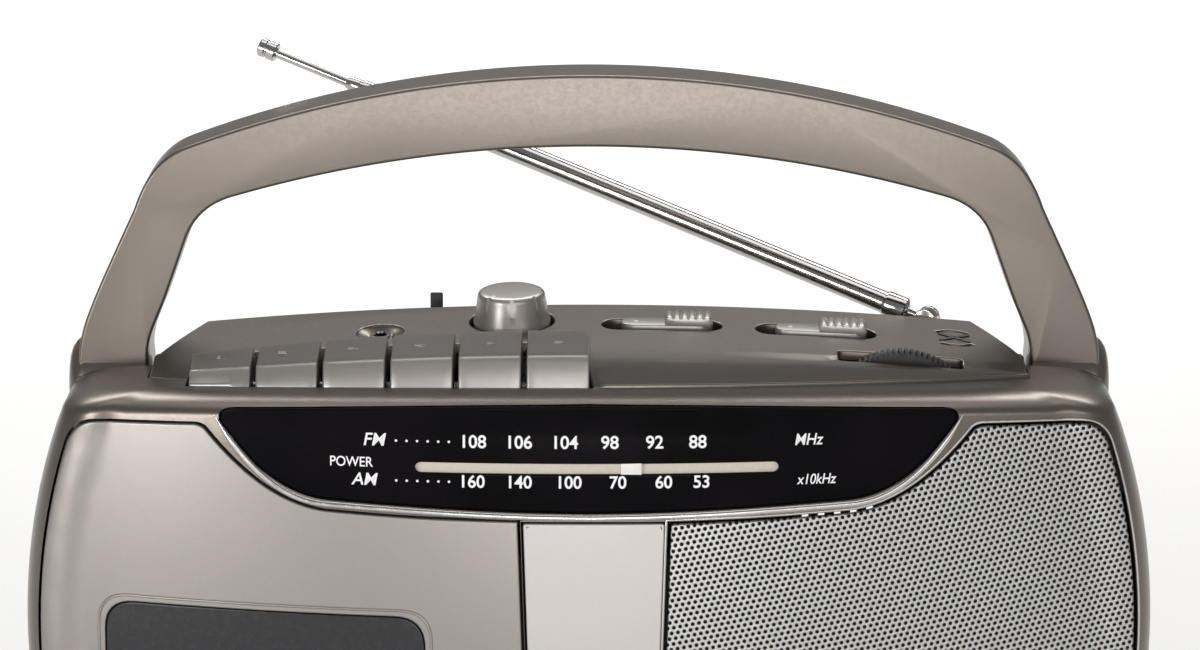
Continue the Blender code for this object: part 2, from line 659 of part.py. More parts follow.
def top_panel():
    made = prism("top_panel", deck_outline(), DECK_Z - 20, DECK_Z + 30, champagne(), "Z")
    common(made, deck_slab("deck_layer", -DECK_THICKNESS, 0.0, champagne()))
    cut(made, key_slot("key_window"))
    hole = rod("knob_hole", KNOB_BASE_R + KNOB_ROOM, -6, 6, champagne(), "Z", deck_matrix(KNOB_X, KNOB_Y), 32)
    cut(made, hole)
    for label, x, y in SWITCHES:
        slot = stadium(SWITCH_SLOT, SWITCH_SLOT_WIDTH)
        cut(made, prism(label + "_slot", slot, -6, 6, champagne(), "Z", deck_matrix(x, y)))
    chord = 2 * sqrt(WHEEL_R**2 - (WHEEL_R - WHEEL_PROUD - DECK_THICKNESS - 1.5) ** 2) + 3.0
    wheel_slot = box(
        "wheel_slot",
        (WHEEL_X - chord / 2, WHEEL_X + chord / 2),
        (WHEEL_Y - WHEEL_WIDTH / 2 - 0.7, WHEEL_Y + WHEEL_WIDTH / 2 + 0.7),
        (DECK_Z - 20, DECK_Z + 20),
        champagne(),
    )
    cut(made, wheel_slot)
    for turn in (0, pi):
        outline = arc((0, 0), MIC_R, turn + 0.9, turn + 2.4, 6) + arc((0, 0), MIC_R - 1.2, turn + 2.4, turn + 0.9, 6)
        cut(made, prism("mic_slot", outline, -6, 6, champagne(), "Z", deck_matrix(MIC_X, MIC_Y)))
    dish = turned(
        "phones_dish",
        [(0, -1.6), (PHONES_R * 0.5, -1.4), (PHONES_R * 0.85, -0.8), (PHONES_R, 0.0), (PHONES_R, 3.0), (0, 3.0)],
        champagne(),
        "Z",
        deck_matrix(PHONES_X, PHONES_Y),
    )
    nose = rod("jack_hole", JACK_NOSE_R + GAP, -6, 6, champagne(), "Z", deck_matrix(PHONES_X, PHONES_Y - 1.5))
    return cut(made, dish, nose)


def feet():
    for end, y in (("front", FOOT_FRONT_Y), ("rear", FOOT_REAR_Y)):
        for side, x in (("left", -FOOT_X), ("right", FOOT_X)):
            pad = [(0, 0), (FOOT_R - 0.8, 0), (FOOT_R, 0.8), (FOOT_R, FLOOR_Z - GAP), (2.6, FLOOR_Z - GAP)]
            pad += [(2.6, FLOOR_Z + 2.0), (0, FLOOR_Z + 2.0)]
            turned(f"foot_{end}_{side}", pad, rubber(), "Z", at(x, y, 0))


# ==== dial ================================================================================================
def dial():
    lens = skin("dial_lens", [(x * 0.9965, z + (0.3 if z < 107 else -0.3)) for x, z in dial_outline()],
                LENS_DEPTH, LENS_THICKNESS, black_gloss(), 5.0)
    middle = (SLOT_LEFT + SLOT_RIGHT) / 2
    slot = [(x + middle, z + (SLOT_LOW + SLOT_HIGH) / 2) for x, z in stadium(SLOT_RIGHT - SLOT_LEFT, SLOT_HIGH - SLOT_LOW)]
    cut(lens, prism("lens_slot", slot, FRONT_Y - 5, SCALE_Y + 3, black_gloss()))
    box("dial_scale", (SLOT_LEFT - 6, SLOT_RIGHT + 6), (SCALE_Y, SCALE_Y + 1.2), (SLOT_LOW - 4, SLOT_HIGH + 4), silver())
    x = (POINTER_X - POINTER_WIDTH / 2, POINTER_X + POINTER_WIDTH / 2)
    neck = (POINTER_X - 1.0, POINTER_X + 1.0)
    y = (SCALE_Y - 1.6, SCALE_Y - 0.4)
    made = box("dial_pointer", x, y, (SLOT_LOW - 0.7, SLOT_HIGH + 0.7), silver())
    add(
        made,
        box("pointer_neck", neck, y, (SLOT_HIGH, SLOT_HIGH + 6.6), silver()),
        box("pointer_lug", neck, (y[0], SCALE_Y + 3.4), (SLOT_HIGH + 4.9, SLOT_HIGH + 6.6), silver()),
    )
    skin("badge_panel", [(x * 0.99, z - 0.3 if z > 50 else z + 0.3) for x, z in badge_outline()], 0.0, BADGE_THICKNESS, silver())


# ==== keys ================================================================================================
def key_x(index):
    return LAST_KEY_X - (5 - index) * KEY_PITCH


def key_front_y(x):
    return KEY_FRONT_Y + x * x / (2 * PLAN_RADIUS)


def keys():
    for index, label in enumerate(KEY_NAMES):
        key(label, key_x(index))
    span = (key_x(0) - KEY_WIDTH / 2 - 4, key_x(5) + KEY_WIDTH / 2 + 4)
    rod("key_shaft", KEY_SHAFT_R, *span, steel(), "X", at(0, KEY_SHAFT_Y, KEY_SHAFT_Z), 16)


def key_section(x):
    """A key's side view at one of its two sides, as (y, z) points. It follows the bows of lip, deck and key row."""
    front, foot = key_front_y(x), lip_z(x)
    top = DECK_Z + KEY_HEIGHT - x * x / (2 * KEY_TOP_ARCH)
    rear = KEY_REAR_Y + x * x / (2 * KEY_REAR_BOW)
    return [
        (front, foot - 3.5),
        (front, foot + 0.5),
        (front + 2.9, top - 0.9),
        (front + 3.6, top),
        (rear, top + KEY_RISE),
        (rear + 1.8, top + KEY_RISE - 0.4),
        (rear + 3.0, top + KEY_RISE - 1.6),
        (rear + 10.0, top - 3.2),
        (rear + 10.0, foot - 1.5),
    ]


def key(label, x):
    sides = [x - KEY_WIDTH / 2, x + KEY_WIDTH / 2]
    points = [(side, y, z) for side in sides for y, z in key_section(side)]
    n = len(points) // 2
    faces = [tuple(range(n)), tuple(range(n, 2 * n))]
    faces += [(k, (k + 1) % n, n + (k + 1) % n, n + k) for k in range(n)]
    made = solid("key_" + label, points, faces, silver())
    foot, rear = lip_z(x), KEY_REAR_Y + x * x / (2 * KEY_REAR_BOW)
    arm = [
        (rear, foot - 0.5),
        (rear + 9.0, foot - 0.5),
        (KEY_SHAFT_Y + 1.5, KEY_SHAFT_Z + 1.8),
        (KEY_SHAFT_Y, KEY_SHAFT_Z - 2.6),
        (KEY_SHAFT_Y - 3.0, KEY_SHAFT_Z - 1.8),
        (rear, foot - 4.2),
    ]
    reach = (x - KEY_ARM / 2, x + KEY_ARM / 2)
    add(made, prism("key_arm", arm, *reach, silver(), "X"))
    add(made, rod("key_hub", KEY_HUB_R, *reach, silver(), "X", at(0, KEY_SHAFT_Y, KEY_SHAFT_Z), 16))
    bore = rod("key_bore", KEY_SHAFT_R + RUNNING, reach[0] - 2, reach[1] + 2, silver(), "X", at(0, KEY_SHAFT_Y, KEY_SHAFT_Z), 16)
    return cut(made, bore)


# ==== deck controls =======================================================================================
def volume():
    base = deck_matrix(KNOB_X, KNOB_Y)
    bore = POT_SHAFT_R + GAP
    profile = [(0, KNOB_HEIGHT), (KNOB_TOP_R - 1.0, KNOB_HEIGHT - 0.25), (KNOB_TOP_R, KNOB_HEIGHT - 1.2)]
    profile += [(KNOB_BASE_R, 0.4), (KNOB_BASE_R, -2.2), (bore, -2.2), (bore, KNOB_HEIGHT - 2.5), (0, KNOB_HEIGHT - 2.5)]
    turned("volume_knob", profile, silver(), "Z", base, 36)
    low = BOARD_Z + 3.2 - deck_z(KNOB_X, KNOB_Y)
    made = box("volume_potentiometer", (-8, 8), (-8, 6), (low, -8.0), steel(), base)
    add(made, rod("pot_shaft", POT_SHAFT_R, -9.0, KNOB_HEIGHT - 2.5 - GAP, steel(), "Z", base, 20))


def switches():
    for label, x, y in SWITCHES:
        base = deck_matrix(x, y)
        right = SLIDER_AT + SLIDER_LENGTH / 2
        left = SLIDER_AT - SLIDER_LENGTH / 2
        half = SLIDER_WIDTH / 2
        plate = [(SLIDER_AT + u, v) for u, v in stadium(SLIDER_LENGTH, SLIDER_WIDTH)]
        made = prism(label + "_slider", plate, -1.4, 0.9, silver(), "Z", base)
        grip = [(right - GRIP_LENGTH, 0.5), (right - 0.4, 0.5), (right - 0.4, GRIP_HEIGHT - 0.8)]
        ridges = 6
        pitch = (GRIP_LENGTH - 1.6) / ridges
        for k in range(ridges):
            middle = right - 0.8 - pitch * (k + 0.5)
            grip += [(middle + pitch * 0.38, GRIP_HEIGHT - 0.5), (middle, GRIP_HEIGHT), (middle - pitch * 0.38, GRIP_HEIGHT - 0.5)]
        grip += [(right - GRIP_LENGTH, GRIP_HEIGHT - 0.9)]
        add(made, prism(label + "_grip", grip, -half, half, silver(), "Y", base))
        stem = (right - GRIP_LENGTH / 2 - 2, right - GRIP_LENGTH / 2 + 2)
        add(made, box(label + "_stem", stem, (-1.5, 1.5), (-9.0, -1.0), silver(), base))
        low = BOARD_Z + 3.4 - deck_z(x, y)
        body = box(label + "_switch", (-13, 12.5), (-6, 6), (low, -5.0), steel(), base)
        cut(body, box(label + "_lever_room", (stem[0] - 7, stem[1] + 1.5), (-2.2, 2.2), (-10.5, 0), steel(), base))


def tuning():
    centre_z = deck_z(WHEEL_X, WHEEL_Y) + WHEEL_PROUD - WHEEL_R
    middle = at(WHEEL_X, 0, centre_z)
    outline = []
    for k in range(WHEEL_TEETH):
        turn = 2 * pi * k / WHEEL_TEETH
        step = pi / WHEEL_TEETH
        outline.append((WHEEL_R * cos(turn), WHEEL_R * sin(turn)))
        outline.append(((WHEEL_R - 0.8) * cos(turn + step), (WHEEL_R - 0.8) * sin(turn + step)))
    y = (WHEEL_Y - WHEEL_WIDTH / 2, WHEEL_Y + WHEEL_WIDTH / 2)
    made = prism("tuning_wheel", outline, *y, black_plastic(), "Y", middle)
    add(made, rod("tuning_shaft", 2.5, y[1] - 1, y[1] + 6.0, black_plastic(), "Y", middle, 16))
    body = box("tuning_capacitor", (-6.5, 10), (y[1] + 3.0, y[1] + 15.0), (-10, 8), steel(), middle)
    cut(body, rod("capacitor_bore", 2.5 + RUNNING, y[1], y[1] + 7.0, steel(), "Y", middle, 16))


def sockets():
    base = deck_matrix(PHONES_X, PHONES_Y - 1.5)
    made = box("headphone_jack", (-5, 5), (-4.6, 6), (-14.0, -3.2), chrome(), base)
    add(made, rod("jack_nose", JACK_NOSE_R, -4.0, -0.6, chrome(), "Z", base, 20))
    cut(made, rod("jack_bore", 1.8, -12.0, 1.0, chrome(), "Z", base, 16))
    base = deck_matrix(MIC_X, MIC_Y)
    rod("microphone", 4.8, -9.0, -DECK_THICKNESS - GAP, steel(), "Z", base)


# ==== carrying handle =====================================================================================
def handle_outline():
    """Half of the handle from the middle of the grip down its outer edge, and back up its inner edge."""
    drop = GRIP_TOP_Z - CORNER_OUT_Z
    radius = (CORNER_OUT_X**2 + drop**2) / (2 * drop)
    turn = asin(CORNER_OUT_X / radius)
    outer = arc((0, GRIP_TOP_Z - radius), radius, pi / 2, pi / 2 - turn * 0.93, 9)
    end = (ARM_OUT_X, HUB_Z + 12)
    outer += bezier(outer[-1], (CORNER_OUT_X + 2.5, CORNER_OUT_Z - 0.5), (CORNER_OUT_X + 7.0, CORNER_OUT_Z - 14), 4)
    outer += [(CORNER_OUT_X + 18.0, HUB_Z + 24), end, (ARM_OUT_X + 0.6, HUB_Z)]
    drop = GRIP_UNDER_Z - CORNER_IN_Z
    radius = (CORNER_IN_X**2 + drop**2) / (2 * drop)
    turn = asin(CORNER_IN_X / radius)
    inner = arc((0, GRIP_UNDER_Z - radius), radius, pi / 2, pi / 2 - turn * 0.9, 9)
    inner += bezier(inner[-1], (CORNER_IN_X + 0.5, CORNER_IN_Z + 0.5), (CORNER_IN_X + 3.6, CORNER_IN_Z - 9), 4)
    inner += [(CORNER_IN_X + 9.2, HUB_Z + 24), (ARM_IN_X - 0.2, HUB_Z + 12), (ARM_IN_X, HUB_Z)]
    return outer, inner


def handle():
    outer, inner = handle_outline()
    outline = [(-x, z) for x, z in reversed(outer)] + outer[1:] + inner[::-1] + [(-x, z) for x, z in inner[1:]]
    made = prism("handle", outline, HUB_Y - HANDLE_HALF_DEPTH, HUB_Y + HANDLE_HALF_DEPTH, champagne())
    bevel = made.modifiers.new("Rounding", "BEVEL")
    bevel.width = 6.0 * MM
    bevel.segments = 2
    bevel.limit_method = "ANGLE"
    bevel.angle_limit = radians(60)
    bevel.use_clamp_overlap = True
    for side in (-1, 1):
        dome = [(0, ARM_IN_X), (HUB_R - 0.8, ARM_IN_X), (HUB_R, ARM_IN_X + 0.8), (HUB_R, HUB_OUT - 4.5)]
        dome += [(HUB_R - 1.6, HUB_OUT - 1.6), (HUB_R - 4.0, HUB_OUT), (0, HUB_OUT)]
        add(made, turned("hub", [(r, side * d) for r, d in dome], champagne(), "X", at(0, HUB_Y, HUB_Z)))
    for side in (-1, 1):
        bore = [(0, ARM_IN_X - 5), (PIVOT_R + GAP, ARM_IN_X - 5), (PIVOT_R + GAP, HUB_OUT - 6), (PIVOT_HEAD_R + GAP, HUB_OUT - 6)]
        bore += [(PIVOT_HEAD_R + GAP, HUB_OUT + 4), (0, HUB_OUT + 4)]
        cut(made, turned("hub_bore", [(r, side * d) for r, d in bore], champagne(), "X", at(0, HUB_Y, HUB_Z)))
        start = DECK_HALF_WIDTH - 6
        pin = [(0, start), (PIVOT_R, start), (PIVOT_R, HUB_OUT - 6 + GAP), (PIVOT_HEAD_R, HUB_OUT - 6 + GAP)]
        pin += [(PIVOT_HEAD_R, HUB_OUT - 2.6), (PIVOT_HEAD_R - 1.2, HUB_OUT - 2.0), (0, HUB_OUT - 1.8)]
        label = "left" if side < 0 else "right"
        turned("handle_pivot_" + label, [(r, side * d) for r, d in pin], steel(), "X", at(0, HUB_Y, HUB_Z))


# ==== antenna =============================================================================================
def antenna():
    foot = at(ANTENNA_X, ANTENNA_Y, ANTENNA_Z) @ Matrix.Rotation(pi - ANTENNA_SWIVEL, 4, "Z")
    line = foot @ Matrix.Rotation(-ANTENNA_RISE, 4, "Y")
    swivel = rod("antenna_swivel", POST_R, GROOVE_Z - 5 - ANTENNA_Z, -KNUCKLE_R - RUNNING, chrome(), "Z", foot, 24)
    half = KNUCKLE_WIDTH / 2
    for side in (-1, 1):
        low = side * (half + GAP)
        high = side * (half + GAP + CHEEK)
        outline = arc((0, 0), KNUCKLE_R, 0, pi, 10) + [(-KNUCKLE_R, -KNUCKLE_R - 1.2), (KNUCKLE_R, -KNUCKLE_R - 1.2)]
        add(swivel, prism("cheek", outline, min(low, high), max(low, high), chrome(), "Y", foot))
    add(swivel, rod("tilt_pin", 0.9, -half - 1.2, half + 1.2, chrome(), "Y", foot, 12))
    tube = rod("antenna_tube", KNUCKLE_R, -half, half, chrome(), "Y", line, 24)
    body = [(0, 2.0), (1.4, 2.0), (1.4, 5.0), (TUBE_R + 0.5, 6.0), (TUBE_R + 0.5, 12.0), (TUBE_R, 12.6), (TUBE_R, TUBE_END - 1.0)]
    body += [(TUBE_R - 0.15, TUBE_END), (0, TUBE_END)]
    add(tube, turned("tube_body", body, chrome(), "X", line, 20))
    cut(tube, rod("tube_bore", TUBE_BORE, 14.0, TUBE_END + 2, chrome(), "X", line, 20))
    cut(tube, rod("knuckle_bore", 0.9 + RUNNING, -half - 2, half + 2, chrome(), "Y", line, 12))
    stage("antenna_section_2", line, 16.0, TUBE_END + GAP, SECTION_2_R, TUBE_R - 0.5, SECTION_2_BORE)
    stage("antenna_section_3", line, 18.0, TUBE_END + COLLAR + 2 * GAP, SECTION_3_R, TUBE_R - 0.95, SECTION_3_BORE)
    tip = [(0, TUBE_END - 120), (ROD_R, TUBE_END - 120), (ROD_R, ROD_END - TIP_LENGTH), (TIP_R, ROD_END - TIP_LENGTH)]
    tip += [(TIP_R, ROD_END - 0.6), (TIP_R - 0.6, ROD_END), (0, ROD_END)]
    turned("antenna_tip_rod", tip, chrome(), "X", line, 20)


def stage(name, line, start, collar_at, radius, collar_radius, bore):
    """One inner section: a thin tube that ends in a crimped collar outside the section before it."""
    profile = [(bore, start), (radius, start), (radius, collar_at), (collar_radius, collar_at)]
    profile += [(collar_radius, collar_at + COLLAR - 0.6), (collar_radius - 0.5, collar_at + COLLAR), (bore, collar_at + COLLAR)]
    return turned(name, profile, chrome(), "X", line, 20)


# ==== door and tape mechanism =============================================================================
def rounded_box_outline(left, right, low, high, corner):
    spots = ((right - corner, high - corner, 0), (left + corner, high - corner, 1), (left + corner, low + corner, 2))
    spots += ((right - corner, low + corner, 3),)
    outline = []
    for x, z, quarter in spots:
        outline += arc((x, z), corner, quarter * pi / 2, (quarter + 1) * pi / 2, 4)
    return outline


def door():
    made = skin("cassette_door", door_outline(), 0.0, WALL, champagne())
    window = rounded_box_outline(WINDOW_LEFT, WINDOW_RIGHT, WINDOW_LOW, WINDOW_HIGH, WINDOW_CORNER)
    cut(made, prism("window_opening", window, FRONT_Y - 5, CASSETTE_FRONT_Y + 2, champagne()))
    pane = rounded_box_outline(
        WINDOW_LEFT + GAP, WINDOW_RIGHT - GAP, WINDOW_LOW + GAP, WINDOW_HIGH - GAP, WINDOW_CORNER - GAP
    )
    skin("door_window", pane, 0.4, 1.6, clear_window())
    add(made, *[door_lug(x) for x in (CASSETTE_X - 18, CASSETTE_X + 38)])
    return made


def door_lug(x):
    """An ear behind the door with half of its hinge, at the door's lower edge."""
    reach = front_y(x, HINGE_Z) + 1.0
    outline = [(reach, HINGE_Z + 5.5), (HINGE_Y + 1, HINGE_Z + 3.2), (HINGE_Y + 3.2, HINGE_Z), (HINGE_Y + 1, HINGE_Z - 3.2)]
    outline += [(reach, HINGE_Z - 1.0)]
    return prism("door_lug", outline, x - 2.0, x + 2.0, champagne(), "X")


def cassette_holder():
    """The carrier behind the door: a floor, two side channels and a front rail, open at the top."""
    left, right = CASSETTE_X - CASSETTE_WIDTH / 2 - 1.5, CASSETTE_X + CASSETTE_WIDTH / 2 + 1.5
    back = CASSETTE_FRONT_Y + CASSETTE_DEPTH + 0.5
    top = CASSETTE_LOW_Z + CASSETTE_HEIGHT - 4
    made = box("cassette_holder", (left, right), (CASSETTE_FRONT_Y + 4.0, back), (CASSETTE_LOW_Z - 2.0, CASSETTE_LOW_Z - 0.5), steel())
    for x in (left, right - 1.2):
        add(made, box("channel", (x, x + 1.2), (CASSETTE_FRONT_Y + 4.0, back), (CASSETTE_LOW_Z - 1.5, top), steel()))
    for x in (left, right - 7.0):
        add(made, box("channel_back", (x, x + 7.0), (back - 1.0, back), (CASSETTE_LOW_Z - 1.5, top), steel()))
    return made


def spindle(name, x):
    base = at(x, 0, SPINDLE_Z)
    gear_r = 7.0
    front = CASSETTE_FRONT_Y + 3.0
    back = CHASSIS_Y + 3.0
    profile = [(0, front), (1.6, front), (3.2, front + 2.5), (3.2, CHASSIS_Y - 4.0), (8.5, CHASSIS_Y - 4.0)]
    profile += [(8.5, CHASSIS_Y - 2.6), (2.4, CHASSIS_Y - 2.6), (2.4, CHASSIS_Y + 0.8), (gear_r, CHASSIS_Y + 0.8)]
    profile += [(gear_r, back), (0, back)]
    made = turned(name, profile, black_plastic(), "Y", base, 24)
    for k in range(3):
        turned_base = base @ Matrix.Rotation(2 * pi * k / 3, 4, "Y")
        add(made, box("spline", (-0.6, 0.6), (front + 2.0, CHASSIS_Y - 4.5), (2.0, 4.6), black_plastic(), turned_base))
    return made


def mechanism():
    left, right = CASSETTE_X - 51, CASSETTE_X + 51
    chassis_y = (CHASSIS_Y - CHASSIS_THICKNESS, CHASSIS_Y)
    made = box("mechanism_chassis", (left, right), chassis_y, (CASSETTE_LOW_Z - 4, 110.0), steel())
    ends = (CHASSIS_Y - 6, CHASSIS_Y + 6)
    for x in (CASSETTE_X - SPINDLE_SPACING / 2, CASSETTE_X + SPINDLE_SPACING / 2):
        cut(made, rod("spindle_hole", 2.4 + RUNNING, *ends, steel(), "Y", at(x, 0, SPINDLE_Z), 20))
    cut(made, rod("capstan_hole", CAPSTAN_R + RUNNING, *ends, steel(), "Y", at(CAPSTAN_X, 0, CAPSTAN_Z), 16))
    post = at(ARM_PIVOT_X, 0, ARM_PIVOT_Z)
    add(made, rod("arm_post", 1.5, CHASSIS_Y - 7.0, CHASSIS_Y - 0.5, steel(), "Y", post, 16))
    spindle("supply_spindle", CASSETTE_X - SPINDLE_SPACING / 2)
    spindle("takeup_spindle", CASSETTE_X + SPINDLE_SPACING / 2)
    drive()
    tape_heads()


def drive():
    """Flywheel with its capstan, motor, pulley and the belt between them."""
    centre = at(CAPSTAN_X, 0, CAPSTAN_Z)
    wheel = (CHASSIS_Y + 1.0, CHASSIS_Y + 1.0 + FLYWHEEL_WIDTH)
    profile = [(0, CASSETTE_FRONT_Y + 2.0), (CAPSTAN_R, CASSETTE_FRONT_Y + 2.0), (CAPSTAN_R, wheel[0])]
    profile += [(FLYWHEEL_R, wheel[0]), (FLYWHEEL_R, wheel[1]), (0, wheel[1])]
    turned("flywheel", profile, steel(), "Y", centre, 40)
    motor = at(MOTOR_X, 0, MOTOR_Z)
    body = [(0, wheel[1] + 1.0), (1.0 + RUNNING, wheel[1] + 1.0), (MOTOR_R - 1, wheel[1] + 1.0), (MOTOR_R, wheel[1] + 2.0)]
    body += [(MOTOR_R, wheel[1] + 24.0), (0, wheel[1] + 24.0)]
    housing = turned("motor", body[:1] + body[2:], steel(), "Y", motor, 32)
    cut(housing, rod("motor_bore", 1.0 + RUNNING, wheel[1], wheel[1] + 4.0, steel(), "Y", motor, 12))
    pulley = [(0, wheel[0]), (PULLEY_R, wheel[0]), (PULLEY_R, wheel[1] - 0.2), (1.0, wheel[1] - 0.2), (1.0, wheel[1] + 3.5)]
    turned("motor_pulley", pulley + [(0, wheel[1] + 3.5)], brass(), "Y", motor, 24)
    y = (wheel[0] + 1.0, wheel[1] - 1.0)
    belt = prism("drive_belt", belt_outline(GAP + BELT), *y, rubber())
    cut(belt, prism("belt_inside", belt_outline(GAP), y[0] - 2, y[1] + 2, rubber()))


def belt_outline(away):
    """The loop round flywheel and pulley: two arcs joined by their common tangents."""
    dx, dz = CAPSTAN_X - MOTOR_X, CAPSTAN_Z - MOTOR_Z
    big, small = FLYWHEEL_R + away, PULLEY_R + away
    line = atan2(dz, dx)
    open_by = acos((big - small) / hypot(dx, dz))
    round_big = arc((CAPSTAN_X, CAPSTAN_Z), big, line - (pi - open_by), line + (pi - open_by), 20)
    round_small = arc((MOTOR_X, MOTOR_Z), small, line + (pi - open_by), line + pi + open_by, 10)
    return round_big + round_small


def tape_heads():
    back = CASSETTE_FRONT_Y + CASSETTE_DEPTH
    edge = CASSETTE_LOW_Z + CASSETTE_HEIGHT
    plate = box("head_plate", (CASSETTE_X - 34, CASSETTE_X + 20), (back - 1.5, back), (edge + 4.5, edge + 20), steel())
    cut(plate, box("plate_slot", (CASSETTE_X - 28, CASSETTE_X - 24), (back - 4, back + 2), (edge + 9, edge + 17), steel()))
    add(plate, box("tape_head", (CASSETTE_X - 6, CASSETTE_X + 6), (back - 10.5, back - 1), (edge + 2.5, edge + 13), chrome()))
    roller_x, roller_z = CAPSTAN_X, CAPSTAN_Z + CAPSTAN_R + ROLLER_R + GAP + ROLLER_LIFT
    y = (back - 1.6, back - 0.2)
    outline = arm_outline((ARM_PIVOT_X, ARM_PIVOT_Z), 4.0, (roller_x, roller_z), 3.0)
    arm = prism("pinch_arm", outline, *y, steel())
    pin = at(roller_x, 0, roller_z)
    roller_y = (y[0] - 0.4 - ROLLER_WIDTH, y[0] - 0.4)
    add(arm, rod("roller_pin", 1.0, roller_y[0] - 1.0, y[0] + 0.5, steel(), "Y", pin, 16))
    cut(arm, rod("arm_bore", 1.5 + RUNNING, y[0] - 2, y[1] + 2, steel(), "Y", at(ARM_PIVOT_X, 0, ARM_PIVOT_Z), 16))
    bore = 1.0 + RUNNING
    tyre = [(bore, roller_y[0]), (ROLLER_R, roller_y[0]), (ROLLER_R, roller_y[1]), (bore, roller_y[1])]
    turned("pinch_roller", tyre, rubber(), "Y", pin, 24)


def arm_outline(a, radius_a, b, radius_b):
    """Two round ends joined by straight sides."""
    turn = atan2(b[1] - a[1], b[0] - a[0])
    return arc(a, radius_a, turn + pi / 2, turn + 3 * pi / 2, 8) + arc(b, radius_b, turn - pi / 2, turn + pi / 2, 8)


# ==== speaker and electrical parts ========================================================================
def grille():
    skin("speaker_grille", [(x, z) for x, z in grille_outline(-GAP)], GRILLE_DEPTH, GRILLE_THICKNESS, grille_metal())


def speaker():
    centre = at(SPEAKER_X, 0, SPEAKER_Z)
    r, y = SPEAKER_R, SPEAKER_Y
    inner_r = MAGNET_R - 4
    depth = 20.0
    frame = [(r - 4, y), (r, y), (r, y + 2), (r - 3, y + 2), (inner_r + 1.5, y + depth), (inner_r - 6, y + depth)]
    frame += [(inner_r - 6, y + depth - 1.5), (inner_r, y + depth - 1.5), (r - 5, y + 2)]
    turned("speaker_frame", frame, steel(), "Y", centre, 36)
    cone = [(r - 4 - GAP, y + 0.4), (r - 6.0, y + 0.4), (9.0, y + depth - 8), (0, y + depth - 9.5), (0, y + depth - 8.7)]
    cone += [(9.0, y + depth - 7), (r - 6.6, y + 1.6), (r - 4.6 - GAP, y + 1.4)]
    cone_shape = cone[3:] + cone[:3]
    turned("speaker_cone", [(0, y + depth - 8.7)] + cone_shape[2:] + [(0, y + depth - 9.5)], paper(), "Y", centre, 36)
    low = y + depth + GAP
    magnet = [(0, low), (MAGNET_R - 1, low), (MAGNET_R, low + 1), (MAGNET_R, low + MAGNET_DEPTH), (0, low + MAGNET_DEPTH)]
    turned("speaker_magnet", magnet, paper(), "Y", centre, 36)


def power():
    x = (BAY_LEFT + GAP, BAY_RIGHT - GAP)
    z = (BAY_LOW + GAP, BAY_HIGH - GAP)
    cover = box("battery_cover", x, (REAR_Y - 2.6, REAR_Y - 0.1), z, champagne())
    middle = (BAY_LEFT + BAY_RIGHT) / 2
    cut(cover, box("thumb_recess", (middle - 9, middle + 9), (REAR_Y - 1.2, REAR_Y + 2), (z[1] - 9, z[1] - 5), champagne()))
    for side, wall_x, inwards in (("left", BAY_LEFT, 1), ("right", BAY_RIGHT, -1)):
        start = wall_x + inwards * 0.5
        plate_x = sorted((start, start + inwards * 0.8))
        plate = box("battery_contact_" + side, plate_x, (BAY_FRONT_Y + 3, REAR_Y - 6), (BAY_LOW + 5, BAY_HIGH - 5), steel())
        for k, z_cell in enumerate((BAY_LOW + 15, BAY_HIGH - 15)):
            spring = [(0, 0), (6.0, 0), (4.0, inwards * 5.0), (0, inwards * 5.0)]
            y_cell = (BAY_FRONT_Y + REAR_Y) / 2 - 1.5
            add(plate, turned(f"contact_spring_{k}", spring, steel(), "X", at(start + inwards * 0.4, y_cell, z_cell), 16))
    made = box(
        "ac_inlet",
        (INLET_X - INLET_WIDTH / 2, INLET_X + INLET_WIDTH / 2),
        (REAR_Y - 20, REAR_Y - 0.4),
        (INLET_Z - INLET_HEIGHT / 2, INLET_Z + INLET_HEIGHT / 2),
        black_plastic(),
    )
    socket = [(x + INLET_X, z + INLET_Z) for x, z in stadium(14.0, 8.0)]
    cut(made, prism("inlet_socket", socket, REAR_Y - 14, REAR_Y + 3, black_plastic()))
    for x in (INLET_X - 3.4, INLET_X + 3.4):
        add(made, rod("inlet_pin", 1.1, REAR_Y - 15, REAR_Y - 5, steel(), "Y", at(x, 0, INLET_Z), 10))
    core = box("power_transformer", (98, 132), (14, 36), (10, 38), steel())
    add(core, box("transformer_coil", (104, 126), (11, 39), (14, 34), brass()))
    board = box("main_board", (KNOB_X - 20, WHEEL_X - 13), (10 + GAP, DECK_REAR_Y - 4), (BOARD_Z, BOARD_Z + 1.6), board_green())
    cut(board, box("board_notch", (KNOB_X - 25, KNOB_X - 14), (0, 18), (BOARD_Z - 3, BOARD_Z + 4), board_green()))
    rod("ferrite_rod", 5.0, -30, 60, paper(), "X", at(0, 33, 93), 20)


# ==== assembly ============================================================================================
def settle_origin():
    """Moves the root empty so that the origin is at the middle of the footprint, on the standing surface."""
    bpy.context.view_layer.update()
    graph = bpy.context.evaluated_depsgraph_get()
    low, high = Vector((1e9, 1e9, 1e9)), Vector((-1e9, -1e9, -1e9))
    for found in bpy.data.objects:
        if found.type != "MESH" or found.hide_render:
            continue
        shown = found.evaluated_get(graph)
        for vertex in shown.to_mesh().vertices:
            spot = shown.matrix_world @ vertex.co
            low = Vector(min(pair) for pair in zip(low, spot))
            high = Vector(max(pair) for pair in zip(high, spot))
        shown.to_mesh_clear()
    FRAME["root"].location = (-(low.x + high.x) / 2, -(low.y + high.y) / 2, -low.z)
    bpy.context.view_layer.update()
    print("origin offset in millimetres:", [round(v / MM, 4) for v in FRAME["root"].location])


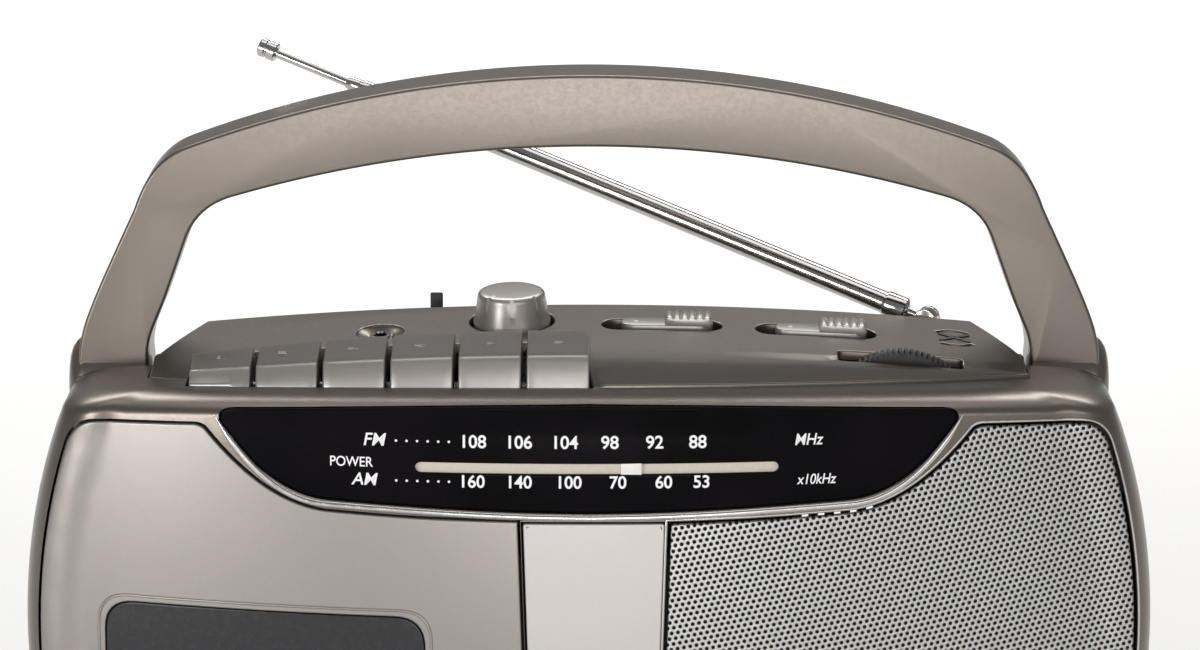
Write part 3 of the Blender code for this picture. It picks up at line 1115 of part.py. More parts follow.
def main():
    clear_scene()
    root = bpy.data.objects.new("recorder_frame", None)
    bpy.context.scene.collection.objects.link(root)
    FRAME["root"] = root
    front_cabinet()
    rear_cabinet()
    top_panel()
    feet()
    dial()
    keys()
    volume()
    switches()
    tuning()
    sockets()
    handle()
    antenna()
    door()
    cassette_holder()
    mechanism()
    grille()
    speaker()
    power()
    settle_origin()


main()
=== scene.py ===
"""The looks of a portable radio cassette recorder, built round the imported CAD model.

Sizes here are in millimetres in the model's own layout: X to the right, the front faces -Y, Z up, and the
cabinet's middle at X = Y = 0. put() turns them into metres in the frame. The camera comes first, then
materials, shared surfaces, the pieces from front to back, and the studio.
"""

from math import asin, atan2, cos, pi, radians, sin, sqrt, tan

import bmesh
import bpy
from mathutils import Matrix, Vector
from mathutils.geometry import delaunay_2d_cdt


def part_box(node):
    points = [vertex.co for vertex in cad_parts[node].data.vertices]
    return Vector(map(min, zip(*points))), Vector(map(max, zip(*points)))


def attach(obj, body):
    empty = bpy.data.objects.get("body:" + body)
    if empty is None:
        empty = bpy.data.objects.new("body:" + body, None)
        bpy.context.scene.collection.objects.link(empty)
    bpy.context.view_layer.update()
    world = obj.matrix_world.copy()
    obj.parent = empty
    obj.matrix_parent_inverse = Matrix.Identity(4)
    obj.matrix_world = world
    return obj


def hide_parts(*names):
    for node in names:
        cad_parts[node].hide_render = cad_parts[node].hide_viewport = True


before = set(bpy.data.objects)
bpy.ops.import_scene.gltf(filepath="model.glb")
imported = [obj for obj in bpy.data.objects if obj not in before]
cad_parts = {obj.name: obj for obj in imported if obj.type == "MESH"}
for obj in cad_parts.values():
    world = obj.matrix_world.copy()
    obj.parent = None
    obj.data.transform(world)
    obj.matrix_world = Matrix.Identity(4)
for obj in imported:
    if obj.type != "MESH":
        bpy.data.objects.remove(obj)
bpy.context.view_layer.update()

MM = 0.001
REAR_Y = 50.0
SUPPORT_RINGS = (0.12, 0.5)  # past a panel's rounded edge, they keep the edge's shading off its flat
SLIVER = 0.04  # a panel's triangles lower than this are left out
SHIFT_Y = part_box("rear_cabinet")[1][1] / MM - REAR_Y


def put(x, y, z):
    return Vector((x, y + SHIFT_Y, z)) * MM


def new_object(name, data):
    made = bpy.data.objects.new(name, data)
    bpy.context.scene.collection.objects.link(made)
    return made


LENS, SENSOR = 142.3, 36
CAMERA_PLACE, CAMERA_TILT = (2.9, -1210.1, 383.3), radians(78.3)


def camera():
    """Level across, and looking down by 11.7 degrees."""
    data = bpy.data.cameras.new("camera")
    data.lens, data.sensor_width = LENS, SENSOR
    made = new_object("camera", data)
    made.location = put(*CAMERA_PLACE)
    made.rotation_euler = (CAMERA_TILT, 0, 0)
    bpy.context.scene.camera = made


camera()


# ==== materials ===========================================================================================
class Nodes:
    """A small helper that adds and links nodes of one material."""

    def __init__(self, name):
        self.material = bpy.data.materials.new(name)
        self.material.use_nodes = True
        self.tree = self.material.node_tree
        self.shader = self.tree.nodes["Principled BSDF"]
        self.place = self.add("ShaderNodeTexCoord").outputs["Object"]

    def add(self, kind, **settings):
        node = self.tree.nodes.new(kind)
        for key, value in settings.items():
            setattr(node, key, value)
        return node

    def link(self, a, b):
        self.tree.links.new(a, b)

    def noise(self, scale, detail=2.0, roughness=0.5, stretch=None):
        node = self.add("ShaderNodeTexNoise")
        node.inputs["Scale"].default_value = scale
        node.inputs["Detail"].default_value = detail
        node.inputs["Roughness"].default_value = roughness
        spot = self.place if stretch is None else self.mapped("Scale", stretch)
        self.link(spot, node.inputs["Vector"])
        return node.outputs["Fac"]

    def mapped(self, kind, value):
        mapping = self.add("ShaderNodeMapping")
        mapping.inputs[kind].default_value = value
        self.link(self.place, mapping.inputs["Vector"])
        return mapping.outputs["Vector"]

    def ramp(self, value, low, high, at_low=0.35, at_high=0.65):
        node = self.add("ShaderNodeMapRange")
        node.inputs["From Min"].default_value = at_low
        node.inputs["From Max"].default_value = at_high
        node.inputs["To Min"].default_value = low
        node.inputs["To Max"].default_value = high
        self.link(value, node.inputs["Value"])
        return node.outputs["Result"]

    def mix(self, factor, first, second):
        """Each of the three is a socket, or a plain number or colour."""
        node = self.add("ShaderNodeMix", data_type="RGBA")
        for key, value in (("Factor", factor), ("A", first), ("B", second)):
            if isinstance(value, tuple):
                node.inputs[key].default_value = (*value, 1)
            elif isinstance(value, float):
                node.inputs[key].default_value = value
            else:
                self.link(value, node.inputs[key])
        return node.outputs["Result"]

    def feed(self, name, value):
        self.link(value, self.shader.inputs[name])

    def math(self, operation, a, b=None, c=None):
        node = self.add("ShaderNodeMath", operation=operation)
        for socket, value in zip(node.inputs, (a, b, c)):
            if value is None:
                continue
            if isinstance(value, (int, float)):
                socket.default_value = value
            else:
                self.link(value, socket)
        return node.outputs[0]

    def bump(self, height, strength, distance=0.0001):
        node = self.add("ShaderNodeBump")
        node.inputs["Strength"].default_value = strength
        node.inputs["Distance"].default_value = distance
        self.link(height, node.inputs["Height"])
        self.feed("Normal", node.outputs["Normal"])

    def set(self, **values):
        for key, value in values.items():
            self.shader.inputs[key.replace("_", " ")].default_value = value


def shade(colour, share):
    return tuple(c * share for c in colour)


def metallic_paint(name, colour, spread=0.035, metallic=0.55, roughness=0.34):
    """Satin metallic lacquer: fine flakes, a faint cloudiness and a slight orange peel."""
    made = Nodes(name)
    light = shade(colour, 1 + spread)
    flakes = made.mix(made.ramp(made.noise(3200.0, 1.0), 0, 1), shade(colour, 1 - spread), light)
    cloud = made.mix(made.ramp(made.noise(14.0, 3.0), 0, 1), shade(colour, 0.97), light)
    made.feed("Base Color", made.mix(0.3, flakes, cloud))
    made.feed("Roughness", made.ramp(made.noise(900.0, 2.0), roughness - 0.015, roughness + 0.02))
    made.set(Metallic=metallic, Coat_Weight=0.15, Coat_Roughness=0.25)
    made.bump(made.noise(2400.0, 2.0), 0.04, 0.00002)
    return made.material


def plastic(name, colour, roughness=0.45, spread=0.08, grain=1500.0, strength=0.12):
    """Moulded plastic with a fine texture."""
    made = Nodes(name)
    speckle = made.ramp(made.noise(grain, 2.0), 0, 1)
    made.feed("Base Color", made.mix(speckle, shade(colour, 1 - spread), shade(colour, 1 + spread)))
    made.feed("Roughness", made.ramp(made.noise(500.0, 3.0), roughness - 0.06, roughness + 0.06))
    made.bump(made.noise(grain, 2.0), strength)
    return made.material


def gloss_black():
    """Polished black plastic, as the dial's lens looks from in front."""
    made = Nodes("gloss_black")
    cloud = made.ramp(made.noise(30.0), 0, 1)
    made.feed("Base Color", made.mix(cloud, (0.003, 0.003, 0.0035), (0.006, 0.005, 0.006)))
    made.feed("Roughness", made.ramp(made.noise(120.0, 4.0), 0.04, 0.09))
    made.set(IOR=1.47, Specular_IOR_Level=0.03)
    return made.material


def metal(name, colour, roughness, brushed=None):
    """Bare or plated metal: faint smears, and a brushed direction where one is given."""
    made = Nodes(name)
    smears = made.ramp(made.noise(60.0, 3.0), 0, 1)
    made.feed("Base Color", made.mix(smears, shade(colour, 0.93), colour))
    lines = made.noise(400.0 if brushed is None else 900.0, 3.0, 0.6, brushed)
    made.feed("Roughness", made.ramp(lines, roughness * 0.7, roughness * 1.4))
    made.set(Metallic=1.0)
    made.bump(lines, 0.04)
    return made.material


def perforated():
    """Silver-lacquered sheet with round holes on a tilted hexagonal grid. The holes are not cut through: the
    near-black in them is painted shade.
    """
    made = Nodes("perforated_sheet")
    pitch, radius = 1.62 * MM, 0.50 * MM
    split = made.add("ShaderNodeSeparateXYZ")
    made.link(made.mapped("Rotation", (0, radians(10), 0)), split.inputs[0])
    across, up = split.outputs["X"], split.outputs["Z"]
    row = pitch * sqrt(3)

    def nearest(offset):
        parts = []
        for spot, size in ((across, pitch), (up, row)):
            cell = made.math("FRACT", made.math("ADD", made.math("DIVIDE", spot, size), 40.5 + offset))
            parts.append(made.math("MULTIPLY", made.math("SUBTRACT", cell, 0.5), size))
        squares = [made.math("MULTIPLY", p, p) for p in parts]
        return made.math("SQRT", made.math("ADD", *squares))

    away = made.math("MINIMUM", nearest(0.0), nearest(0.5))
    hole = made.ramp(away, 1.0, 0.0, radius * 0.92, radius * 1.1)
    sheet = made.mix(made.ramp(made.noise(1500.0), 0, 1), (0.50, 0.49, 0.48), (0.60, 0.59, 0.575))
    # painted shade: the near-black colour inside the holes stands in for the shade within them
    painted_hole_shade = made.mix(made.noise(800.0), (0.008, 0.008, 0.008), (0.012, 0.012, 0.012))
    made.feed("Base Color", made.mix(hole, sheet, painted_hole_shade))
    made.feed("Metallic", made.ramp(hole, 0.75, 0.0, 0, 1))
    made.feed("Roughness", made.ramp(hole, 0.36, 0.95, 0, 1))
    made.set(Specular_IOR_Level=0.2)
    rim = made.ramp(away, 0.0, 1.0, radius * 0.85, radius * 1.35)
    made.bump(rim, 0.5, 0.0002)
    return made.material


CHAMPAGNE = metallic_paint("champagne_paint", (0.175, 0.151, 0.130), metallic=0.85, roughness=0.33)
DOOR_PAINT = metallic_paint("door_paint", (0.31, 0.285, 0.265), metallic=0.8, roughness=0.36)
KEY_PAINT = metallic_paint("key_paint", (0.37, 0.345, 0.322), metallic=0.65, roughness=0.34)
BADGE_PAINT = metallic_paint("badge_paint", (0.56, 0.53, 0.51), spread=0.02, metallic=0.2, roughness=0.4)
BEZEL_METAL = metal("bezel_silver", (0.62, 0.60, 0.58), 0.22)
GLOSS_BLACK = gloss_black()
SHEET = perforated()
CHROME = metal("chrome", (0.50, 0.49, 0.48), 0.14)
STEEL = metal("steel", (0.55, 0.55, 0.56), 0.3, (1, 1, 12))
BLACK = plastic("black_plastic", (0.02, 0.02, 0.02), 0.5)
RUBBER = plastic("rubber", (0.025, 0.025, 0.025), 0.8, 0.2, 2500.0, 0.3)
IVORY = plastic("scale_ivory", (0.62, 0.55, 0.47), 0.5, 0.03)
POINTER_WHITE = plastic("pointer_white", (0.80, 0.77, 0.73), 0.35, 0.02)
INK_WHITE = plastic("white_ink", (0.86, 0.86, 0.86), 0.6, 0.02)
INK_TAN = plastic("tan_ink", (0.50, 0.46, 0.42), 0.6, 0.03)
SMOKE = plastic("smoke_window", (0.016, 0.016, 0.018), 0.25, 0.1)
BRASS = metal("brass", (0.75, 0.55, 0.25), 0.25)
BOARD = plastic("phenolic_board", (0.24, 0.14, 0.06), 0.6, 0.2)
PULP = plastic("paper_pulp", (0.05, 0.05, 0.05), 0.9, 0.3, 900.0, 0.5)
FERRITE = plastic("ferrite", (0.05, 0.05, 0.055), 0.55, 0.25, 700.0, 0.3)


# ==== meshes ================================================================================================
def object_of(name, mesh_data, paint):
    made = new_object(name, mesh_data)
    if paint is not None:
        made.data.materials.append(paint)
    return made


def mesh_of(name, points, faces, paint, smooth=40, matrix=None):
    """Points in millimetres, in the matrix's own frame, or in the cabinet's layout where there is none."""
    data = bpy.data.meshes.new(name)
    work = bmesh.new()
    spots = [put(*p) for p in points] if matrix is None else [matrix @ (Vector(p) * MM) for p in points]
    corners = [work.verts.new(p) for p in spots]
    for face in faces:
        if len(set(face)) > 2:
            work.faces.new([corners[i] for i in face])
    bmesh.ops.remove_doubles(work, verts=work.verts, dist=2e-7)
    bmesh.ops.recalc_face_normals(work, faces=work.faces)
    if work.calc_volume(signed=True) < 0:
        bmesh.ops.reverse_faces(work, faces=work.faces)
    work.to_mesh(data)
    work.free()
    made = object_of(name, data, paint)
    soften(made, smooth)
    return made


def soften(made, angle=40):
    made.data.shade_smooth()
    made.data.set_sharp_from_angle(angle=radians(angle))


def apply(made):
    """Bakes an object's modifiers into its mesh."""
    bpy.context.view_layer.update()
    shown = made.evaluated_get(bpy.context.evaluated_depsgraph_get())
    data = bpy.data.meshes.new_from_object(shown)
    old = made.data
    made.modifiers.clear()
    made.data = data
    bpy.data.meshes.remove(old)
    return made


def change(made, others, operation="DIFFERENCE"):
    for other in others:
        step = made.modifiers.new("step", "BOOLEAN")
        step.operation = operation
        step.solver = "EXACT"
        step.object = other
    apply(made)
    for other in others:
        bpy.data.objects.remove(other, do_unlink=True)
    return made


def bevel(made, width, segments=3, angle=35, smooth=40):
    step = made.modifiers.new("round", "BEVEL")
    step.width = width * MM
    step.segments = segments
    step.limit_method = "ANGLE"
    step.angle_limit = radians(angle)
    step.use_clamp_overlap = True
    step.harden_normals = False
    apply(made)
    soften(made, smooth)
    return made


def piece(made, body="cabinet", nodes=()):
    """Puts a finished piece on its body and hides the CAD nodes that it stands for."""
    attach(made, body)
    if nodes:
        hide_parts(*nodes)
    return made


def band(low, high):
    """The faces between two rings of the same length."""
    n = len(low)
    return [(low[k], low[(k + 1) % n], high[(k + 1) % n], high[k]) for k in range(n)]


def extrude(name, outline, low, high, paint, along="Y", matrix=None):
    """A prism of an outline. along is Y for an outline in (X, Z), or Z for one in (X, Y)."""
    n = len(outline)
    points = [(a, depth, b) if along == "Y" else (a, b, depth) for depth in (low, high) for a, b in outline]
    faces = [tuple(range(n)), tuple(range(n, 2 * n))] + band(range(n), range(n, 2 * n))
    return mesh_of(name, points, faces, paint, 40, matrix)


def block(name, x, y, z, paint=None, matrix=None):
    return extrude(name, [(x[0], z[0]), (x[1], z[0]), (x[1], z[1]), (x[0], z[1])], *y, paint, "Y", matrix)


def revolve(name, profile, paint, matrix, sides=64):
    """A (radius, height) profile turned about the matrix's Z axis."""
    points, rings = [], []
    for radius, height in profile:
        if radius == 0:
            rings.append([len(points)] * sides)
            points.append((0, 0, height))
        else:
            rings.append(range(len(points), len(points) + sides))
            points += [(x, y, height) for x, y in ring_points(0, 0, radius, sides)]
    pairs = list(zip(rings, rings[1:]))
    if profile[0][0] > 0 and profile[-1][0] > 0:
        pairs.append((rings[-1], rings[0]))
    faces = []
    for low, high in pairs:
        # Beside a point on the axis the four corners are only three.
        loops = [list(dict.fromkeys(face)) for face in band(low, high)]
        faces += [loop for loop in loops if len(loop) > 2]
    return mesh_of(name, points, faces, paint, 30, matrix)


def at(x, y, z):
    return Matrix.Translation(put(x, y, z))


def facing(x, y, z, direction):
    """A frame at a place whose Z axis points along a direction."""
    return at(x, y, z) @ Vector(direction).to_track_quat("Z", "Y").to_matrix().to_4x4()


# ==== outlines ==============================================================================================
def arc(x, y, radius, turns):
    return [(x + radius * cos(a), y + radius * sin(a)) for a in turns]


def ring_points(x, y, radius, count):
    return arc(x, y, radius, [2 * pi * k / count for k in range(count)])


def quad_bezier(a, b, c, steps):
    made = []
    for t in [k / steps for k in range(steps + 1)]:
        made.append(tuple((1 - t) ** 2 * p + 2 * t * (1 - t) * q + t * t * r for p, q, r in zip(a, b, c)))
    return made


def spline_point(t, a, b, c, d):
    """Catmull-Rom, between b and c."""
    return 0.5 * (2 * b + (c - a) * t + (2 * a - 5 * b + 4 * c - d) * t**2 + (3 * b - a - 3 * c + d) * t**3)


def spline(points, steps):
    """A smooth open curve through a few points."""
    last, made = len(points) - 1, []
    for i in range(last):
        near = [points[max(0, min(last, i + k))] for k in (-1, 0, 1, 2)]
        made += [tuple(spline_point(k / steps, *four) for four in zip(*near)) for k in range(steps)]
    return made + [tuple(points[-1])]


def round_corners(points, radii, steps=6):
    """A polygon whose corners are rounded, each by its own radius."""
    made, n = [], len(points)
    for i, (spot, radius) in enumerate(zip(points, radii)):
        here = Vector(spot)
        before, after = Vector(points[i - 1]) - here, Vector(points[(i + 1) % n]) - here
        if radius <= 0:
            made.append(spot)
            continue
        a = here + before.normalized() * min(radius, before.length * 0.49)
        c = here + after.normalized() * min(radius, after.length * 0.49)
        made += quad_bezier(tuple(a), spot, tuple(c), steps)
    return made


def even(points, step=1.2):
    """The same closed outline with points at most a step apart."""
    made = []
    for a, b in zip(points, points[1:] + points[:1]):
        length = (Vector(b) - Vector(a)).length
        count = max(1, int(length / step + 0.999))
        made += [tuple(Vector(a).lerp(Vector(b), k / count)) for k in range(count)] if length > 1e-6 else []
    return made


def area(points):
    return sum(a[0] * b[1] - b[0] * a[1] for a, b in zip(points, points[1:] + points[:1])) / 2


def inset(points, distance):
    """A closed outline moved inwards, or outwards where the distance is negative."""
    if area(points) < 0:
        return inset(points[::-1], distance)[::-1]
    made, n = [], len(points)
    for i in range(n):
        a, b, c = (Vector(points[(i + k) % n]) for k in (-1, 0, 1))
        first, second = (b - a).normalized(), (c - b).normalized()
        normal = Vector((-(first.y + second.y), first.x + second.x))
        if normal.length < 1e-6:
            normal = Vector((-first.y, first.x))
        normal.normalize()
        lean = max(0.5, normal.dot(Vector((-first.y, first.x))))
        made.append(tuple(b + normal * distance / lean))
    return made


def inside(spot, outline):
    x, y = spot
    hit = False
    for (ax, ay), (bx, by) in zip(outline, outline[1:] + outline[:1]):
        if (ay > y) != (by > y) and x < (bx - ax) * (y - ay) / (by - ay) + ax:
            hit = not hit
    return hit


def turned_left(outline, step):
    """An even outline that runs counterclockwise."""
    return even(outline, step) if area(outline) > 0 else even(outline, step)[::-1]


def panel(name, outline, surface, paint, edge, wall, holes=(), grid=3.0, hole_edge=0.35):
    """A curved plate: an outline with holes laid on a surface, with rounded edges and side walls.
    surface(u, v, depth) gives a place in the cabinet's layout."""
    points, faces = [], []

    def ring(loop, depth):
        start = len(points)
        points.extend(surface(u, v, depth) for u, v in loop)
        return list(range(start, start + len(loop)))

    def rolled(loop, radius, inwards):
        steps = [(0.0, wall)]
        for a in (0, pi / 8, pi / 4, 3 * pi / 8, pi / 2):
            steps.append((radius * (1 - cos(a)), radius * (1 - sin(a))))
        steps += [(radius + extra, 0.0) for extra in SUPPORT_RINGS]
        before = None
        for shift, depth in steps:
            moved = inset(loop, shift * inwards)
            now = ring(moved, depth)
            if before is not None:
                faces.extend(band(before, now))
            before = now
        return moved, before

    borders = [rolled(turned_left(outline, 1.2), edge, 1)]
    borders += [rolled(turned_left(hole, 0.8), hole_edge, -1) for hole in holes]
    top = borders[0][0]
    hole_shapes = [border for border, _ in borders[1:]]
    spots, edges, where = [], [], []
    for border, indices in borders:
        start = len(spots)
        spots += [Vector(p) for p in border]
        where += indices
        edges += [(start + k, start + (k + 1) % len(border)) for k in range(len(border))]
    xs, ys = [p[0] for p in top], [p[1] for p in top]
    clear = inset(top, grid * 0.45)
    clear_holes = [inset(border, -grid * 0.45) for border in hole_shapes]
    columns, rows = (int((max(values) - min(values)) / grid) for values in (xs, ys))
    for i in range(columns + 1):
        for j in range(rows + 1):
            spot = (min(xs) + grid * (i + 0.5 * (j % 2)), min(ys) + grid * j)
            if inside(spot, clear) and not any(inside(spot, hole) for hole in clear_holes):
                spots.append(Vector(spot))
                where.append(len(points))
                points.append(surface(*spot, 0.0))
    out = delaunay_2d_cdt(spots, edges, [], 0, 1e-5)
    new_points, new_faces, origins = out[0], out[2], out[3]
    names = []
    for spot, origin in zip(new_points, origins):
        if origin:
            names.append(where[origin[0]])
        else:
            names.append(len(points))
            points.append(surface(spot.x, spot.y, 0.0))
    for face in new_faces:
        a, b, c = (new_points[i] for i in face)
        middle = (Vector((0, 0)) + a + b + c) / 3
        if abs((b - a).cross(c - a)) < SLIVER * max((b - a).length, (c - b).length, (a - c).length):
            continue
        if inside(middle, top) and not any(inside(middle, hole) for hole in hole_shapes):
            faces.append(tuple(names[i] for i in face))
    data = bpy.data.meshes.new(name)
    work = bmesh.new()
    corners = [work.verts.new(put(*p)) for p in points]
    for face in faces:
        if len(set(face)) > 2:
            try:
                work.faces.new([corners[i] for i in face])
            except ValueError:
                pass
    bmesh.ops.delete(work, geom=[v for v in work.verts if not v.link_faces], context="VERTS")
    bmesh.ops.recalc_face_normals(work, faces=work.faces)
    work.to_mesh(data)
    work.free()
    made = object_of(name, data, paint)
    soften(made)
    return made


def bead(name, path, radius, paint, sides=10, closed=False, taper=0):
    """A round bead along a path in the cabinet's layout."""
    points, faces = [], []
    n = len(path)
    spots = [Vector(p) for p in path]
    for i, here in enumerate(spots):
        ahead = spots[(i + 1) % n] if closed or i < n - 1 else here
        behind = spots[i - 1] if closed or i > 0 else here
        tangent = (ahead - behind).normalized()
        side = tangent.cross(Vector((0, -1, 0))).normalized()
        out = side.cross(tangent).normalized()
        size = radius
        if taper and not closed:
            size = radius * min(1.0, 0.15 + min(i, n - 1 - i) / taper)
        points += [tuple(here + side * a + out * b) for a, b in ring_points(0, 0, size, sides)]
    for i in range(n if closed else n - 1):
        a, b = i * sides, ((i + 1) % n) * sides
        faces += band(range(a, a + sides), range(b, b + sides))
    if not closed:
        faces += [tuple(range(sides)), tuple(range((n - 1) * sides, n * sides))]
    return mesh_of(name, points, faces, paint, 60)


# ==== the cabinet's surfaces ==============================================================================
HALF_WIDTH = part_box("front_cabinet")[1][0] / MM
SIDE_RADIUS, WAIST_Z = 165.0, 56.0
FRONT_Y, PARTING_Y = -46.96, 10.0
PLAN_RADIUS, FACE_RADIUS, FACE_Z = 390.0, 700.0, 60.0
FLOOR_Z, WALL, CORNER = 4.0, 2.5, 14.0
TOE_DEPTH, TOE_HEIGHT = 14.0, 10.0
LIP_DEPTH, LIP_HEIGHT = 11.0, 5.0
DECK_Z, DECK_FRONT_Y, DECK_REAR_Y = 122.8, -31.0, 39.5
DECK_SLOPE, DECK_ARCH, DECK_FRONT_BOW = radians(6.07), 1150.0, 255.0
DECK_HALF_WIDTH, DECK_REAR_HALF_WIDTH, DECK_THICKNESS = 114.5, 102.6, 2.5
POCKET_Z, GROOVE_Z = 88.0, 116.0


def bow(distance, radius):
    return radius - sqrt(radius * radius - distance * distance)


def half_width(z):
    return HALF_WIDTH - bow(z - WAIST_Z, SIDE_RADIUS)


def front_y(x, z):
    return FRONT_Y + bow(x, PLAN_RADIUS) + bow(z - FACE_Z, FACE_RADIUS)


def deck_z(x, y):
    return DECK_Z + tan(DECK_SLOPE) * (y - DECK_FRONT_Y) - x * x / (2 * DECK_ARCH)


def deck_front_y(x):
    return DECK_FRONT_Y + x * x / (2 * DECK_FRONT_BOW)


def lip_z(x):
    return deck_z(x, deck_front_y(x))


def face_y(x, z):
    """The front's surface, with its rounded toe, lip and corners."""
    drawn = 0.0
    toe = (FLOOR_Z + TOE_HEIGHT - z) / TOE_HEIGHT
    if toe > 0:
        drawn = TOE_DEPTH * (1 - sqrt(max(0.0, 1 - min(1.0, toe) ** 2)))
    lip = (z - lip_z(x) + LIP_HEIGHT) / LIP_HEIGHT
    if lip > 0:
        drawn = LIP_DEPTH * (1 - sqrt(max(0.0, 1 - min(1.0, lip) ** 2)))
    reach = half_width(z) - drawn - CORNER
    if abs(x) <= reach:
        return front_y(x, z) + drawn
    u = min(1.0, (abs(x) - reach) / CORNER)
    return front_y(reach, z) + drawn + CORNER * (1 - sqrt(1 - u)) ** 2


def on_face(x, z, depth):
    return (x, face_y(x, z) + depth, z)


def deck_matrix(x, y, z=0.0):
    lean = Matrix.Rotation(atan2(x, DECK_ARCH), 4, "Y")
    return at(x, y, deck_z(x, y) + z) @ Matrix.Rotation(DECK_SLOPE, 4, "X") @ lean


def form(name, levels, face, back_y, side, paint, stations=72, turn_steps=10):
    """A closed cabinet form from levels of (height function of x, inset, half width)."""
    points, rings = [], []
    for height, drawn, edge in levels:
        middle = height(0)
        reach = edge - drawn - CORNER
        corner_y = face(reach, middle) - side * drawn
        wide = edge - drawn
        bend = ((reach, corner_y), (wide, corner_y), (wide, corner_y - side * CORNER))
        turn = quad_bezier(*bend, turn_steps)[1:]
        across = [-reach + 2 * reach * k / stations for k in range(stations + 1)]
        front = [(-x, y) for x, y in reversed(turn)] + [
            (x, face(x, middle) - side * drawn) for x in across
        ] + turn
        outline = front + [(x, back_y) for x, _ in reversed(front)]
        rings.append(list(range(len(points), len(points) + len(outline))))
        points += [(x, y, height(x)) for x, y in outline]
    count = len(rings[0])
    faces = [face for low, high in zip(rings, rings[1:]) for face in band(low, high)]
    for ring in (rings[0], rings[-1]):
        faces += [
            (ring[k], ring[k + 1], ring[count - 2 - k], ring[count - 1 - k]) for k in range(count // 2 - 1)
        ]
    return mesh_of(name, points, faces, paint)


def front_form(name, drawn, back_y, paint, fine=1):
    rises = [90 * k / (4 * fine) for k in range(4 * fine + 1)]
    levels = []
    for rise in reversed(rises):
        more = TOE_DEPTH * (1 - cos(radians(rise)))
        levels.append((FLOOR_Z + TOE_HEIGHT * (1 - sin(radians(rise))) + drawn, drawn + more))
    start, end = levels[-1][0], lip_z(0) - LIP_HEIGHT - drawn
    steps = 8 * fine
    heights = [start + (end - start) * k / steps for k in range(1, steps)]
    levels += [(height, drawn) for height in heights if height < end - 5]
    made = [(lambda x, h=h: h, more, half_width(h)) for h, more in levels]
    for rise in rises:
        more = LIP_DEPTH * (1 - cos(radians(rise)))
        drop = LIP_HEIGHT * (1 - sin(radians(rise))) + drawn
        made.append(
            (lambda x, d=drop: lip_z(x) - d, drawn + more, half_width(lip_z(HALF_WIDTH - CORNER) - drop))
        )
    return form(name, made, front_y, back_y, -1, paint, 24 * fine, 4 * fine)


def rear_form(name, drawn, edge_y, top_z, paint, fine=1):
    levels = [
        (FLOOR_Z + drawn, drawn + 3.0), (FLOOR_Z + drawn + 0.4, drawn + 1.6),
        (FLOOR_Z + drawn + 1.4, drawn + 0.5),
    ]
    start, end = FLOOR_Z + drawn + 3.5, top_z - drawn
    steps = 6 * fine
    levels += [(start + (end - start) * k / steps, drawn) for k in range(steps + 1)]
    made = [(lambda x, h=h: h, more, half_width(h)) for h, more in levels]
    return form(name, made, lambda x, z: REAR_Y, edge_y, 1, paint, 6, 4 * fine)


# ==== outlines of the front ===============================================================================
DIAL_LOW_Z, DIAL_TOP_Z, DIAL_HALF_WIDTH = 93.3, 121.0, 94.2
PANEL_TOP_Z, PANEL_LOW_Z, EDGE_BORDER = 113.7, 8.0, 4.4
BADGE_LEFT, BADGE_RIGHT, BADGE_TAPER = -16.9, 19.6, 0.031
SLOT_LEFT, SLOT_RIGHT, SLOT_LOW, SLOT_HIGH = -43.9, 48.1, 103.3, 106.0


def dial_outline(grow=0.0):
    low, top, wide = DIAL_LOW_Z - grow, DIAL_TOP_Z + grow, DIAL_HALF_WIDTH + grow
    bend = (66.0 + grow, low + 2.3)
    lower = spline([(0.0, low), (17.0, low + 0.25), (34.4, low + 0.8), (51.9, low + 1.6), bend], 5)
    corner = quad_bezier(bend, (81.5 + grow, low + 3.2), (wide, top - 6.0), 16)[1:]
    upper = quad_bezier((wide, top - 6.0), (wide + 0.6, top - 3.1), (wide - 4.0, top - 2.8), 5)[1:]
    over = spline([(wide - 4.0, top - 2.8), (60.0, top - 1.4), (30.0, top - 0.45), (0.0, top)], 5)[1:-1]
    right = lower + corner + upper + over
    return right + [(0.0, top)] + [(-x, z) for x, z in reversed(right[1:])]


def side_outline(inner_x, grow, corner=6.0):
    """The grille's outline, and mirrored the door's, round from the upper inner corner."""
    low_edge = DIAL_LOW_Z - 1.9 + grow
    bend = (66.5, low_edge + 1.6)
    end = (DIAL_HALF_WIDTH + 4.3 - grow, PANEL_TOP_Z + grow)
    along = spline([(inner_x - grow, low_edge), (44.0, low_edge + 0.55), bend], 5)
    curve = quad_bezier(bend, (82.0 - grow, low_edge + 2.8), (end[0] - 1.2, end[1] - 1.6), 16)[1:]
    curve += quad_bezier(curve[-1], (end[0] - 0.3, end[1] - 0.25), (end[0] + 2.0, end[1] - 0.05), 4)[1:]
    top = PANEL_TOP_Z - 1.1 + grow
    border = EDGE_BORDER - grow
    shoulder = half_width(top) - border
    turn = quad_bezier(
        (shoulder - corner, top + 0.15), (shoulder - 0.3, top),
        (half_width(top - corner) - border, top - corner), 7,
    )
    low = PANEL_LOW_Z - grow
    heights = [top - corner + (low + 5 - top + corner) * k / 24 for k in range(1, 25)]
    side = [(half_width(h) - border, h) for h in heights]
    end_x = half_width(low) - border
    side += quad_bezier(side[-1], (end_x, low), (end_x - 5.0, low), 5)[1:]
    foot = inner_x - grow - BADGE_TAPER * (low_edge - low)
    return along + curve + turn + side + [(foot, low)]


def door_outline(grow=0.0):
    return [(-x, z) for x, z in side_outline(-BADGE_LEFT + 0.9, grow)]


def grille_outline(grow=0.0):
    return side_outline(BADGE_RIGHT + 0.4, grow)


def badge_outline(grow=0.0):
    top, low = DIAL_LOW_Z - 2.2, PANEL_LOW_Z + 4.0
    drop = BADGE_TAPER * (top - low)
    return [
        (BADGE_LEFT - grow, top + grow),
        (BADGE_RIGHT + grow, top + grow),
        (BADGE_RIGHT - drop + grow, low - grow),
        (BADGE_LEFT + drop - grow, low - grow),
    ]


